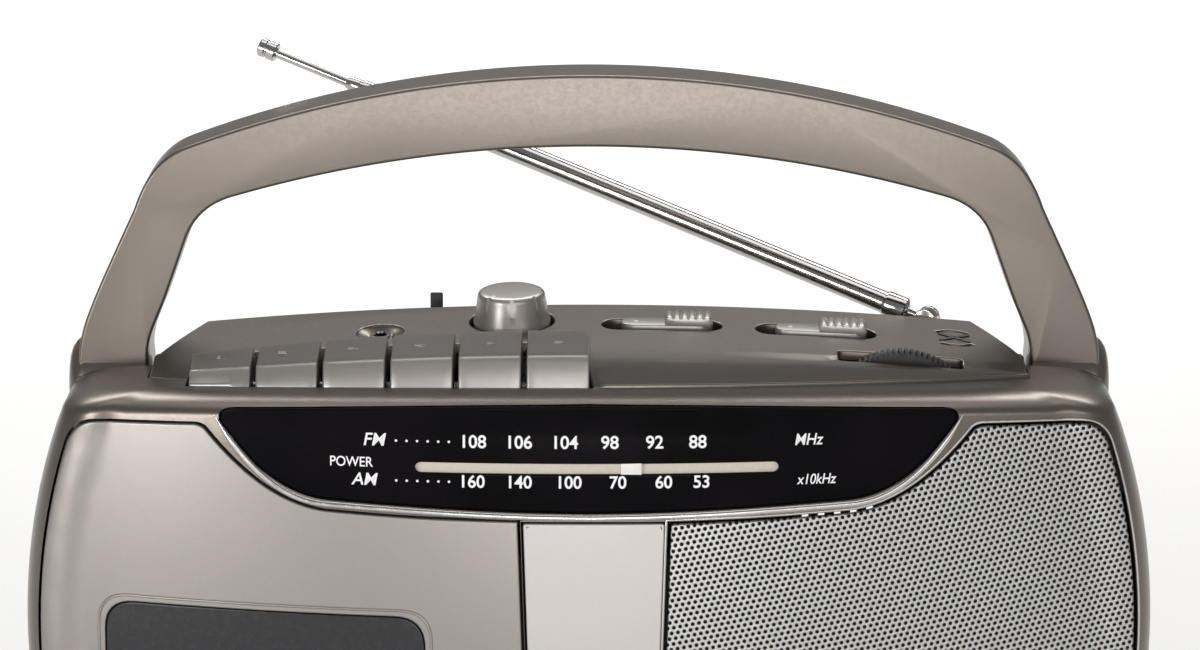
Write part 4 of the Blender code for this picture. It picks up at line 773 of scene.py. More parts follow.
def stadium(length, width, steps=10, x=0.0, y=0.0):
    r, half = width / 2, length / 2 - width / 2
    turns = [-pi / 2 + pi * k / steps for k in range(steps + 1)]
    right = [(x + half + r * cos(a), y + r * sin(a)) for a in turns]
    return right + [(x - half - r * cos(a), y - r * sin(a)) for a in turns]


# ==== front =================================================================================================
def front_shell():
    made = front_form("shell_front", 0.0, PARTING_Y, CHAMPAGNE, 3)
    cutters = [front_form("hollow", WALL, PARTING_Y + 1, None)]
    cutters.append(extrude("deck_cut", deck_outline(0.3, True), DECK_Z - 20, DECK_Z + 30, None, "Z"))
    cutters.append(extrude("dial_cut", dial_outline(), FRONT_Y - 20, DECK_FRONT_Y + 10, None))
    cutters.append(extrude("door_cut", door_outline(0.5), FRONT_Y - 20, -8, None))
    cutters.append(extrude("grille_cut", grille_outline(), FRONT_Y - 20, -8, None))
    change(made, cutters)
    # painted shade: a gloss-black sheet 1.4 mm behind the badge's cut darkens the gap round the badge
    badge_gap_shade = panel("badge_gap_shade_sheet", badge_outline(0.4), on_face, GLOSS_BLACK, 0.1, 0.6, grid=4)
    for vertex in badge_gap_shade.data.vertices:
        vertex.co.y += 1.4 * MM
    sweep = block("sweep", (-112.5, -14.2), (FRONT_Y - 20, -23.5), (-1, PANEL_LOW_Z + 2.2))
    badge_cut = extrude("badge_cut", badge_outline(0.3), FRONT_Y - 20, DECK_FRONT_Y, None)
    change(made, [sweep, badge_cut])
    soften(made)
    piece(made, "cabinet", ["front_cabinet"])
    piece(badge_gap_shade, "cabinet")


def deck_outline(grow=0.0, keys_too=False):
    span = DECK_HALF_WIDTH + grow
    front = [(x, deck_front_y(x) - grow) for x in [-span + 2 * span * k / 60 for k in range(61)]]
    if keys_too:
        slot = key_slot_front()
        left, right = slot[0][0], slot[-1][0]
        slot = [(left, deck_front_y(left) - grow)] + slot + [(right, deck_front_y(right) - grow)]
        front = [p for p in front if p[0] < left - 0.5] + slot + [p for p in front if p[0] > right + 0.5]
    start, end = (DECK_HALF_WIDTH, PARTING_Y + 1), (DECK_REAR_HALF_WIDTH, DECK_REAR_Y)
    side = quad_bezier(start, (DECK_HALF_WIDTH - 3, 22.0), end, 12)
    right = [(x + grow, y) for x, y in side]
    right[-1] = (DECK_REAR_HALF_WIDTH + grow, DECK_REAR_Y + grow)
    return front + right + [(-x, y) for x, y in reversed(right)]


def door():
    hole = window_outline(0.0)
    made = panel("door_skin", inset(even(door_outline()), 0.15), on_face, DOOR_PAINT, 0.5, 2.4, [hole], 3.0)
    piece(made, "door", ["cassette_door"])
    pane = panel(
        "door_pane", window_outline(-0.25), lambda x, z, d: on_face(x, z, d + 0.35), SMOKE, 0.3, 1.5, grid=3.0
    )
    piece(pane, "door", ["door_window"])
    rim = [on_face(x, z, 0.12) for x, z in even(window_outline(1.6), 1.0)]
    piece(bead("window_rim", rim, 0.42, DOOR_PAINT, closed=True), "door", [])


def window_outline(grow):
    x, z = (-124.9 - grow, -41.6 + grow), (27.0 - grow, 66.0 + grow)
    points = [(x[0], z[0]), (x[1], z[0]), (x[1], z[1]), (x[0], z[1])]
    return round_corners(points, [8.0] * 4, 8)


def grille():
    made = panel(
        "grille_sheet", inset(even(grille_outline()), 0.9), lambda x, z, d: on_face(x, z, d + 0.5), SHEET,
        0.6, 1.1, grid=3.0,
    )
    piece(made, "cabinet", ["speaker_grille"])
    border = even(grille_outline(0.35), 1.2)
    path = [on_face(x, z, 0.1) for x, z in border]
    piece(bead("grille_frame", path, 0.3, BEZEL_METAL, closed=True), "cabinet")


def badge():
    made = panel(
        "badge_plate", round_corners(badge_outline(-0.35), [0.8] * 4), on_face, BADGE_PAINT, 0.35, 1.1,
        grid=4.0,
    )
    piece(made, "cabinet", ["badge_panel"])


def dial():
    middle = ((SLOT_LEFT + SLOT_RIGHT) / 2, (SLOT_LOW + SLOT_HIGH) / 2)
    slot = stadium(SLOT_RIGHT - SLOT_LEFT, SLOT_HIGH - SLOT_LOW, 8, *middle)
    lens = panel(
        "lens_glass", inset(even(dial_outline()), 0.25), lambda x, z, d: (x, lens_y(x, z) + d, z),
        GLOSS_BLACK, 0.5, 1.8, [slot], 3.0,
    )
    piece(lens, "cabinet", ["dial_lens"])
    strip = panel(
        "scale_strip",
        stadium(SLOT_RIGHT - SLOT_LEFT + 5, SLOT_HIGH - SLOT_LOW + 2.4, 8, *middle),
        lambda x, z, d: (x, lens_y(x, z) + 1.1 + d, z),
        IVORY,
        0.2,
        0.5,
        grid=3.0,
    )
    piece(strip, "cabinet", ["dial_scale"])
    x = 10.8
    y = lens_y(x, 104.6)
    body = block(
        "pointer_body", (x - 2.65, x + 2.65), (y + 0.15, y + 1.05), (SLOT_LOW - 0.25, SLOT_HIGH + 0.25),
        POINTER_WHITE,
    )
    bevel(body, 0.25, 2)
    piece(body, "dial_pointer", ["dial_pointer"])
    outline = dial_outline(1.0)
    lower = [p for p in outline if p[1] < DIAL_TOP_Z - 4.0]
    lower.sort(key=lambda p: atan2(p[0], 130 - p[1]))
    path = [on_face(px, pz, 0.25) for px, pz in spline(lower, 2)]
    piece(bead("dial_ridge", path, 0.95, BEZEL_METAL, 12, taper=6), "cabinet")
    dial_print()


def lens_y(x, z):
    """The lens lies a little under the front's surface and doesn't follow it over the lip."""
    return front_y(x, min(z, 116.0)) + 0.8


def words(name, text, x, z, size, bold, shear=0.0, squeeze=1.0):
    """Printed characters on the dial, centred at a place."""
    data = bpy.data.curves.new(name, "FONT")
    data.body = text
    data.size = size * MM / 0.70
    data.align_x, data.align_y = "CENTER", "CENTER"
    data.shear = shear
    data.offset = bold * MM
    data.extrude = 0.02 * MM
    made = new_object(name, data)
    lean = atan2(x, PLAN_RADIUS)
    made.matrix_world = (
        at(x, lens_y(x, z) - 0.04, z)
        @ Matrix.Rotation(lean, 4, "Z")
        @ Matrix.Rotation(pi / 2, 4, "X")
        @ Matrix.Diagonal((squeeze, 1, 1, 1))
    )
    bpy.context.view_layer.update()
    shown = made.evaluated_get(bpy.context.evaluated_depsgraph_get())
    mesh_data = bpy.data.meshes.new_from_object(shown)
    in_front = [vertex.co.z > 0 for vertex in mesh_data.vertices]
    mesh_data.transform(made.matrix_world)
    for vertex, front in zip(mesh_data.vertices, in_front):
        spot = vertex.co / MM
        vertex.co.y = put(0, lens_y(spot.x, spot.z) + (-0.07 if front else 0.15), 0).y
    mesh_data.materials.clear()
    bpy.data.objects.remove(made, do_unlink=True)
    piece(object_of(name, mesh_data, INK_WHITE))


def dial_print():
    upper, lower = 111.4, 101.2
    words("mark_fm", "FM", -54.4, upper, 3.2, shear=0.2, bold=0.05)
    words("mark_am", "AM", -56.9, lower, 3.1, shear=0.2, bold=0.05)
    for text, x in (("108", -29.2), ("106", -17.6), ("104", -6.0), ("98", 5.4), ("92", 16.7), ("88", 27.6)):
        words("fm_" + text, text, x, upper, 3.2, bold=0.08)
    for text, x in (("160", -29.5), ("140", -17.6), ("100", -5.0), ("70", 7.4), ("60", 19.0), ("53", 28.6)):
        words("am_" + text, text, x, lower, 3.1, bold=0.08)
    words("unit_mhz", "MHz", 55.6, upper, 2.9, shear=0.2, bold=0.04, squeeze=0.9)
    words("unit_khz", "x10kHz", 57.7, lower, 2.6, shear=0.2, bold=0.03, squeeze=0.85)
    words("mark_power", "POWER", -60.2, 105.6, 2.5, bold=0.03, squeeze=0.9)
    for row, z in (("fm", upper), ("am", lower)):
        for k in range(6):
            x = -48.7 + 2.68 * k
            spot = facing(x, lens_y(x, z) - 0.03, z, (0, -1, 0))
            dot = revolve(f"dot_{row}_{k}", [(0, 0), (0.33, 0), (0.33, 0.03), (0, 0.04)], INK_WHITE, spot, 12)
            piece(dot, "cabinet")


# ==== deck ==================================================================================================
KEY_PITCH, KEY_WIDTH, LAST_KEY_X, KEY_ROOM = 17.45, 16.0, -7.8, 0.9
KEY_NAMES = ("pause", "stop_eject", "fast_forward", "rewind", "play", "record")
KEY_FRONT_Y, KEY_HEIGHT, KEY_TOP_ARCH = -31.0, 7.9, 748.0
KEY_REAR_Y, KEY_REAR_BOW, KEY_RISE = -6.4, 1430.0, 2.2
KEY_NOSE, KEY_TAIL = 4.4, 5.9
KNOB_X, KNOB_Y = -20.5, 25.5
WHEEL_X, WHEEL_Y, WHEEL_R, WHEEL_WIDTH, WHEEL_PROUD = 81.4, 2.0, 21.0, 5.4, 2.1
MIC_X, MIC_Y, MIC_R = 97.0, 22.8, 6.7
PHONES_X, PHONES_Y, PHONES_R = -55.3, 19.5, 6.2
SWITCHES = (("function", 19.3, 22.0), ("band", 60.1, 21.0))


def key_x(index):
    return LAST_KEY_X - (5 - index) * KEY_PITCH


def key_front_y(x):
    return KEY_FRONT_Y + x * x / (2 * PLAN_RADIUS)


def key_rear_y(x):
    return KEY_REAR_Y + x * x / (2 * KEY_REAR_BOW)


def key_top_z(x):
    return DECK_Z + KEY_HEIGHT - x * x / (2 * KEY_TOP_ARCH)


def key_crown_z(x, t):
    """The height of a key's slightly dished top, from its nose (t = 0) to its tail (t = 1)."""
    return key_top_z(x) + 0.07 + (KEY_RISE - 0.22) * t - 0.25 * sin(pi * t)


def key_slot_front():
    left, right = key_x(0) - KEY_WIDTH / 2 - KEY_ROOM, key_x(5) + KEY_WIDTH / 2 + KEY_ROOM
    across = [left + (right - left) * k / 30 for k in range(31)]
    return [(x, key_front_y(x) - KEY_ROOM) for x in across]


def step(value, start, end):
    t = max(0.0, min(1.0, (value - start) / (end - start)))
    return t * t * (3 - 2 * t)


def near_crease(x):
    return -10.2 + 0.00097 * max(0.0, x - 30) ** 2


def far_crease(x):
    return -1.0 + 0.00075 * max(0.0, x - 30) ** 2


def relief(x, y):
    """The right-hand half of the deck: a raised pad in front and a shallow step behind it."""
    across = step(x, 2.0, 4.5)
    pad = 0.9 * (1 - step(y, near_crease(x) - 0.5, near_crease(x) + 1.2))
    ledge = -0.5 * step(x, 25, 60) * step(y, near_crease(x), near_crease(x) + 2) * (
        1 - step(y, far_crease(x) - 0.3, far_crease(x) + 0.6)
    )
    return across * (pad + ledge)


def on_deck(x, y, depth):
    return (x, y, deck_z(x, y) + relief(x, y) - depth)


def deck():
    outline = deck_outline()
    slot = key_slot_front()
    left, right = slot[0][0], slot[-1][0]
    first = next(i for i, p in enumerate(outline) if p[0] > left)
    last = next(i for i, p in enumerate(outline) if p[0] > right)
    rear = [(x, key_rear_y(x) + 12.6) for x, _ in reversed(slot)]
    rear = round_corners(rear, [3.0] + [0] * (len(rear) - 2) + [3.0])
    notch = [(left, deck_front_y(left))] + rear[::-1] + [(right, deck_front_y(right))]
    outline = outline[:first] + notch + outline[last:]
    holes = [ring_points(KNOB_X, KNOB_Y, 11.3, 48)]
    for _, x, y in SWITCHES:
        holes.append(stadium(32.0, 9.0, 10, x, y))
    chord = 2 * sqrt(WHEEL_R**2 - (WHEEL_R - WHEEL_PROUD - 4.0) ** 2) + 3.0
    half = WHEEL_WIDTH / 2 + 0.7
    corners = [(WHEEL_X - chord / 2, WHEEL_Y - half), (WHEEL_X + chord / 2, WHEEL_Y - half)]
    corners += [(WHEEL_X + chord / 2, WHEEL_Y + half), (WHEEL_X - chord / 2, WHEEL_Y + half)]
    holes.append(round_corners(corners, [1.5] * 4))
    for turn in (0.0, pi):
        outer = arc(MIC_X, MIC_Y, MIC_R, [turn + (0.9 + 1.5 * k / 14) for k in range(15)])
        inner = arc(MIC_X, MIC_Y, MIC_R - 1.2, [turn + (2.4 - 1.5 * k / 14) for k in range(15)])
        holes.append(outer + inner)
    holes.append(ring_points(PHONES_X, PHONES_Y, PHONES_R, 40))
    made = panel("deck_plate", outline, on_deck, CHAMPAGNE, 0.6, 2.4, holes, 2.0, 0.45)
    piece(made, "cabinet", ["top_panel"])
    phones_dish()
    mic_cap()


def phones_dish():
    base = deck_matrix(PHONES_X, PHONES_Y)
    profile = [
        (PHONES_R - 0.1, -0.35), (PHONES_R * 0.86, -0.9), (PHONES_R * 0.6, -1.5), (3.5, -1.7), (3.5, -2.6),
        (PHONES_R - 0.1, -2.6),
    ]
    piece(revolve("phones_dish", profile, CHAMPAGNE, base), "cabinet")
    ring = [(1.85, -6.0), (3.15, -6.0), (3.15, -1.15), (2.85, -0.75), (2.2, -0.65), (1.85, -0.95)]
    piece(revolve("jack_ring", ring, CHROME, base), "cabinet", ["headphone_jack"])
    well = [(0, -5.9), (1.84, -5.9), (1.84, -5.7), (0, -5.7)]
    piece(revolve("jack_well", well, BLACK, base), "cabinet")


def mic_cap():
    """The bars that cross the microphone's round opening."""
    base = deck_matrix(MIC_X, MIC_Y)
    for k, turn in enumerate((0.6, -0.6)):
        bar = extrude(
            f"mic_bar_{k}", stadium(2 * MIC_R - 3.4, 1.1), 0.0, 0.35, BLACK, "Z",
            base @ Matrix.Rotation(turn, 4, "Z"),
        )
        piece(bevel(bar, 0.12, 2), "cabinet")


def keys():
    for index, label in enumerate(KEY_NAMES):
        key(label, key_x(index))


def key_section(x):
    """A key's side view, (Y, Z), clockwise from the foot of its front."""
    front, foot, rear, top = key_front_y(x), lip_z(x), key_rear_y(x), key_top_z(x)
    face = [(front, foot - 3.5), (front, foot + 0.5)]
    nose = ((front + 2.45, top - 1.6), (front + 3.0, top - 0.1), (front + KEY_NOSE, top + 0.07))
    face += quad_bezier(*nose, 5)
    over = quad_bezier(
        (rear - 1.5, top + KEY_RISE - 0.15), (rear + 1.6, top + KEY_RISE + 0.1),
        (rear + 3.2, top + KEY_RISE - 2.0), 6,
    )
    span = rear - 1.5 - (front + KEY_NOSE)
    filled = []
    for k in range(1, 6):
        y = front + KEY_NOSE + (rear - KEY_TAIL - front) * k / 6
        t = (y - front - KEY_NOSE) / span
        filled.append((y, key_crown_z(x, t)))
    return face + filled + over + [(rear + 9.9, top - 3.1), (rear + 9.9, foot - 1.5)]


def key(label, x):
    stations = [x - KEY_WIDTH / 2 + KEY_WIDTH * k / 6 for k in range(7)]
    points, count = [], 0
    for side in stations:
        section = key_section(side)
        count = len(section)
        points += [(side, y, z) for y, z in section]
    faces = [tuple(range(count)), tuple(range(6 * count, 7 * count))]
    for low in range(0, 6 * count, count):
        faces += band(range(low, low + count), range(low + count, low + 2 * count))
    made = mesh_of("keycap_" + label, points, faces, KEY_PAINT)
    bevel(made, 0.55, 3, 50, 50)
    piece(made, "key_" + label, ["key_" + label])
    key_mark(label, x)


def key_mark(label, x):
    """The generic transport symbol on a key's top."""
    bar = [(-0.35, -1.1), (0.35, -1.1), (0.35, 1.1), (-0.35, 1.1)]
    right = [(-0.9, -1.2), (1.1, 0.0), (-0.9, 1.2)]
    left = [(-a, b) for a, b in right]
    square = [(-1.1, -1.1), (1.1, -1.1), (1.1, 1.1), (-1.1, 1.1)]
    shapes = {
        "pause": [(bar, -0.8), (bar, 0.8)],
        "stop_eject": [(square, -1.6), ([(-1.2, -0.5), (1.2, -0.5), (0, 1.1)], 1.8)],
        "fast_forward": [(right, -1.0), (right, 1.1)],
        "rewind": [(left, -1.1), (left, 1.0)],
        "play": [(right, 0.0)],
        "record": [(ring_points(0, 0, 1.15, 20), 0.0)],
    }[label]
    front, rear = key_front_y(x), key_rear_y(x)
    y = front + KEY_NOSE + (rear - front) * 0.42
    t = (y - front - KEY_NOSE) / (rear - KEY_TAIL - front)
    height = key_crown_z(x, t)
    slope = atan2(KEY_RISE, rear - front)
    base = at(x, y, height + 0.02) @ Matrix.Rotation(slope, 4, "X")
    for k, (shape, shift) in enumerate(shapes):
        mark = extrude(
            f"mark_{label}_{k}", [(a + shift, b) for a, b in shape], -0.1, 0.03, INK_TAN, "Z", base
        )
        piece(mark, "key_" + label)


# ==== deck controls =========================================================================================
def volume():
    base = deck_matrix(KNOB_X, KNOB_Y)
    top, foot, height = 9.0, 10.2, 8.5
    side = [(top - 0.15, height - 0.9), (top, height - 1.6), (foot - 0.25, 1.0), (foot, 0.3)]
    profile = [
        (0, height), (top - 2.2, height - 0.05), (top - 1.0, height - 0.18), (top - 0.45, height - 0.45)
    ] + side
    profile += [(foot, -2.0), (3.4, -2.0), (3.4, -2.2), (3.4, height - 2.6), (0, height - 2.6)]
    made = revolve("knob_body", profile, KEY_PAINT, base, 128)
    cutters = []
    for k in range(8):
        turn = base @ Matrix.Rotation(-pi / 2 + k * pi / 4 + radians(2), 4, "Z")
        wedge = [
            (foot + 2.0, 3.4), (foot - 0.9, 3.4), (top - 0.9, height - 0.3), (top - 1.6, height + 1),
            (foot + 2.0, height + 1),
        ]
        cutters.append(extrude("flute", wedge, -0.55, 0.55, None, "Y", turn))
    change(made, cutters)
    soften(made, 35)
    piece(made, "volume_knob", ["volume_knob"])
    dot = base @ Matrix.Translation(Vector((-4.6, -5.2, height - 0.12)) * MM)
    piece(
        revolve("knob_dot", [(0, 0.0), (0.62, 0.0), (0.62, 0.1), (0, 0.14)], INK_WHITE, dot, 24),
        "volume_knob",
    )


def sliders():
    for label, x, y in SWITCHES:
        base = deck_matrix(x, y)
        right = 1.4 + 12.2
        left = 1.4 - 12.2
        plate = extrude(label + "_plate", stadium(24.3, 6.7, 12, 1.4), -1.3, 0.85, KEY_PAINT, "Z", base)
        bevel(plate, 0.35, 3)
        piece(plate, label + "_slider", [label + "_slider"])
        grip = [(right - 12.8, 0.2), (right - 0.7, 0.2), (right - 0.5, 1.6)]
        ridges, start, end = 6, right - 0.6, right - 12.6
        for k in range(ridges):
            a = start + (end - start) * k / ridges
            b = start + (end - start) * (k + 1) / ridges
            grip += quad_bezier((a, 2.55), ((a + b) / 2, 3.75), (b, 2.55), 5)[:-1]
        grip += [(end, 2.5), (right - 12.8, 1.6)]
        made = extrude(label + "_ribs", grip, -3.25, 3.25, KEY_PAINT, "Y", base)
        bevel(made, 0.22, 2, 50)
        piece(made, label + "_slider", [])
        dot = base @ Matrix.Translation(Vector((left + 4.0, 0, 0.84)) * MM)
        piece(
            revolve(label + "_dot", [(0, 0), (0.6, 0), (0.6, 0.08), (0, 0.12)], INK_WHITE, dot, 20),
            label + "_slider",
        )
        floor = extrude(label + "_floor", stadium(33.0, 10.0, 10), -3.2, -2.4, BLACK, "Z", base)
        piece(floor, "cabinet")


def tuning():
    centre = deck_z(WHEEL_X, WHEEL_Y) + WHEEL_PROUD - WHEEL_R
    outline, teeth = [], 84
    for k in range(teeth):
        a, w = 2 * pi * k / teeth, 2 * pi / teeth
        for share, depth in ((-0.28, 0.0), (0.28, 0.0), (0.36, 0.7), (0.64, 0.7)):
            outline.append(((WHEEL_R - depth) * cos(a + share * w), (WHEEL_R - depth) * sin(a + share * w)))
    middle = at(WHEEL_X, WHEEL_Y, centre)
    made = extrude("wheel_rim", outline, -WHEEL_WIDTH / 2, WHEEL_WIDTH / 2, BLACK, "Y", middle)
    piece(made, "tuning_wheel", ["tuning_wheel"])
    shaft = facing(WHEEL_X, WHEEL_Y, centre, (0, 1, 0))
    hub = [(0, 2.6), (2.45, 2.6), (2.45, 8.6), (0, 8.7)]
    piece(revolve("wheel_shaft", hub, BLACK, shaft, 24), "tuning_wheel", [])


# ==== handle ================================================================================================
HUB_Y, HUB_Z, HUB_R = 25.2, 112.5, 12.3
HUB_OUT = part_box("handle")[1][0] / MM
GRIP_TOP_Z, GRIP_UNDER_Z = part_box("handle")[1][2] / MM, 177.1


def grip_arc(corner, top, share):
    """The arch from the middle of the grip most of the way to its corner."""
    drop = top - corner[1]
    radius = (corner[0] ** 2 + drop**2) / (2 * drop)
    turn = asin(corner[0] / radius)
    turns = [turn * share * k / 30 for k in range(31)]
    return [(radius * sin(a), top - radius + radius * cos(a)) for a in turns]


def handle_outline():
    """The right half of the handle's outer and inner edges, from the middle down to the hub."""
    corner_out, corner_in = (112.5, 174.5), (102.5, 161.0)
    outer = grip_arc(corner_out, GRIP_TOP_Z, 0.93)
    x, z = corner_out
    outer += quad_bezier(outer[-1], (x + 2.5, z - 0.5), (x + 7.0, z - 14), 10)[1:]
    outer += spline([outer[-1], (x + 18.0, HUB_Z + 24), (134.4, HUB_Z + 12), (135.0, HUB_Z)], 8)[
        1:
    ]
    inner = grip_arc(corner_in, GRIP_UNDER_Z, 0.9)
    x, z = corner_in
    inner += quad_bezier(inner[-1], (x + 0.5, z + 0.5), (x + 3.6, z - 9), 10)[1:]
    inner += spline([inner[-1], (x + 9.2, HUB_Z + 24), (116.2, HUB_Z + 12), (116.4, HUB_Z)], 8)[1:]
    return outer, inner


def handle():
    outer, inner = handle_outline()
    outline = [(-x, z) for x, z in reversed(outer)] + outer[1:] + inner[::-1] + [
        (-x, z) for x, z in inner[1:]
    ]
    made = extrude("handle_bow", outline, HUB_Y - 10.2, HUB_Y + 10.2, CHAMPAGNE)
    bevel(made, 6.0, 8, 60, 50)
    piece(made, "handle", ["handle"])
    for side, label in ((-1, "left"), (1, "right")):
        base = facing(0, HUB_Y, HUB_Z, (side, 0, 0))
        dome = [
            (3.2, 116.4), (HUB_R - 0.8, 116.4), (HUB_R, 117.2), (HUB_R, HUB_OUT - 4.5),
            (HUB_R - 0.4, HUB_OUT - 3.2),
        ]
        dome += [
            (HUB_R - 1.4, HUB_OUT - 1.8), (HUB_R - 3.0, HUB_OUT - 0.7), (HUB_R - 4.6, HUB_OUT - 0.2),
            (6.3, HUB_OUT), (5.95, HUB_OUT - 0.4), (5.95, HUB_OUT - 6.0), (3.2, HUB_OUT - 6.0),
        ]
        piece(revolve("hub_" + label, dome, CHAMPAGNE, base, 96), "handle", [])
        start = DECK_HALF_WIDTH - 6
        pin = [
            (0, start), (2.8, start), (2.8, HUB_OUT - 5.7), (5.6, HUB_OUT - 5.7), (5.6, HUB_OUT - 2.9),
            (5.2, HUB_OUT - 2.2), (3.0, HUB_OUT - 1.9), (0, HUB_OUT - 1.85),
        ]
        cap = revolve("pivot_cap_" + label, pin, BLACK, base, 64)
        piece(cap, "cabinet", ["handle_pivot_" + label])


# ==== antenna ===============================================================================================
ANTENNA_X, ANTENNA_Y, ANTENNA_Z = 91.0, 44.5, 125.0
ANTENNA_SWIVEL, ANTENNA_RISE = radians(15.5), radians(19.5)
TUBE_END = 166.0


def antenna():
    foot = at(ANTENNA_X, ANTENNA_Y, ANTENNA_Z) @ Matrix.Rotation(pi - ANTENNA_SWIVEL, 4, "Z")
    line = foot @ Matrix.Rotation(-ANTENNA_RISE, 4, "Y")
    along = line @ Matrix.Rotation(pi / 2, 4, "Y")
    post = [
        (0, GROOVE_Z - 5 - ANTENNA_Z), (3.6, GROOVE_Z - 5 - ANTENNA_Z), (3.6, -4.6), (3.3, -4.1), (0, -4.1)
    ]
    piece(revolve("swivel_post", post, CHROME, foot, 48), "antenna_swivel", ["antenna_swivel"])
    for k, (low, high) in enumerate(((1.8, 3.4), (-3.4, -1.8))):
        turns = [pi * j / 16 for j in range(17)]
        outline = [(3.2 * cos(a), 3.2 * sin(a)) for a in turns] + [(-3.2, -4.4), (3.2, -4.4)]
        cheek = extrude(f"swivel_cheek_{k}", outline, low, high, CHROME, "Y", foot)
        piece(bevel(cheek, 0.25, 2), "antenna_swivel", [])
    pin = foot @ Matrix.Rotation(-pi / 2, 4, "X")
    piece(
        revolve("swivel_pin", [(0, -3.5), (0.9, -3.5), (0.9, 3.5), (0, 3.5)], STEEL, pin, 20),
        "antenna_swivel",
    )
    knuckle = line @ Matrix.Rotation(-pi / 2, 4, "X")
    eye = [(1.3, -1.5), (3.0, -1.5), (3.2, -1.3), (3.2, 1.3), (3.0, 1.5), (1.3, 1.5)]
    piece(
        revolve("tube_knuckle", eye, CHROME, knuckle, 48),
        "antenna_tube", ["antenna_tube"],
    )
    body = [
        (0, 2.6), (1.4, 2.6), (1.6, 5.2), (3.2, 6.0), (3.5, 6.4), (3.5, 11.6), (3.2, 12.2), (3.0, 12.6),
        (3.0, TUBE_END - 1.2),
    ]
    body += [(2.9, TUBE_END - 0.4), (2.65, TUBE_END), (2.6, TUBE_END), (2.6, 14.0), (0, 14.0)]
    piece(revolve("tube_main", body, CHROME, along, 48), "antenna_tube", [])
    stages = (
        ("antenna_section_2", 16.0, TUBE_END + 0.3, 2.3, 2.5, 2.05),
        ("antenna_section_3", 18.0, TUBE_END + 4.2, 1.8, 2.05, 1.6),
    )
    for name, start, collar, radius, collar_r, bore in stages:
        profile = [
            (bore, start), (radius, start), (radius, collar), (collar_r, collar), (collar_r, collar + 2.4)
        ]
        profile += [(collar_r - 0.25, collar + 3.0), (collar_r - 0.35, collar + 3.6), (bore, collar + 3.6)]
        piece(revolve(name + "_sleeve", profile, CHROME, along, 48), name, [name])
    end = 201.0
    tip = [
        (0, TUBE_END - 120), (1.35, TUBE_END - 120), (1.35, end - 5.3), (2.4, end - 5.3), (2.65, end - 5.0),
        (2.65, end - 2.9),
    ]
    tip += [
        (2.35, end - 2.6), (2.35, end - 2.3), (2.65, end - 2.0), (2.65, end - 0.6), (2.3, end - 0.2),
        (0, end - 0.1),
    ]
    piece(revolve("tip_rod", tip, CHROME, along, 48), "antenna_tip_rod", ["antenna_tip_rod"])


# ==== rear ==================================================================================================
BAY_LEFT, BAY_RIGHT, BAY_LOW, BAY_HIGH = -70.0, 40.0, 9.0, 65.0
INLET_X, INLET_Z = 76.0, 24.0
SCREW_SPOTS = ((-128, 20), (128, 20), (-118, 76), (118, 76), (0, 76))


def block_outline(grow, rear_y):
    deck_line = [(x, y) for x, y in deck_outline(grow) if y > PARTING_Y]
    right = [(x, min(y, rear_y)) for x, y in deck_line if x > 0]
    right = [(DECK_HALF_WIDTH + grow, PARTING_Y + 0.3)] + right
    if rear_y > DECK_REAR_Y + 1:
        right.append((DECK_REAR_HALF_WIDTH + grow - 2.0, rear_y))
    return right + [(-x, y) for x, y in reversed(right)]


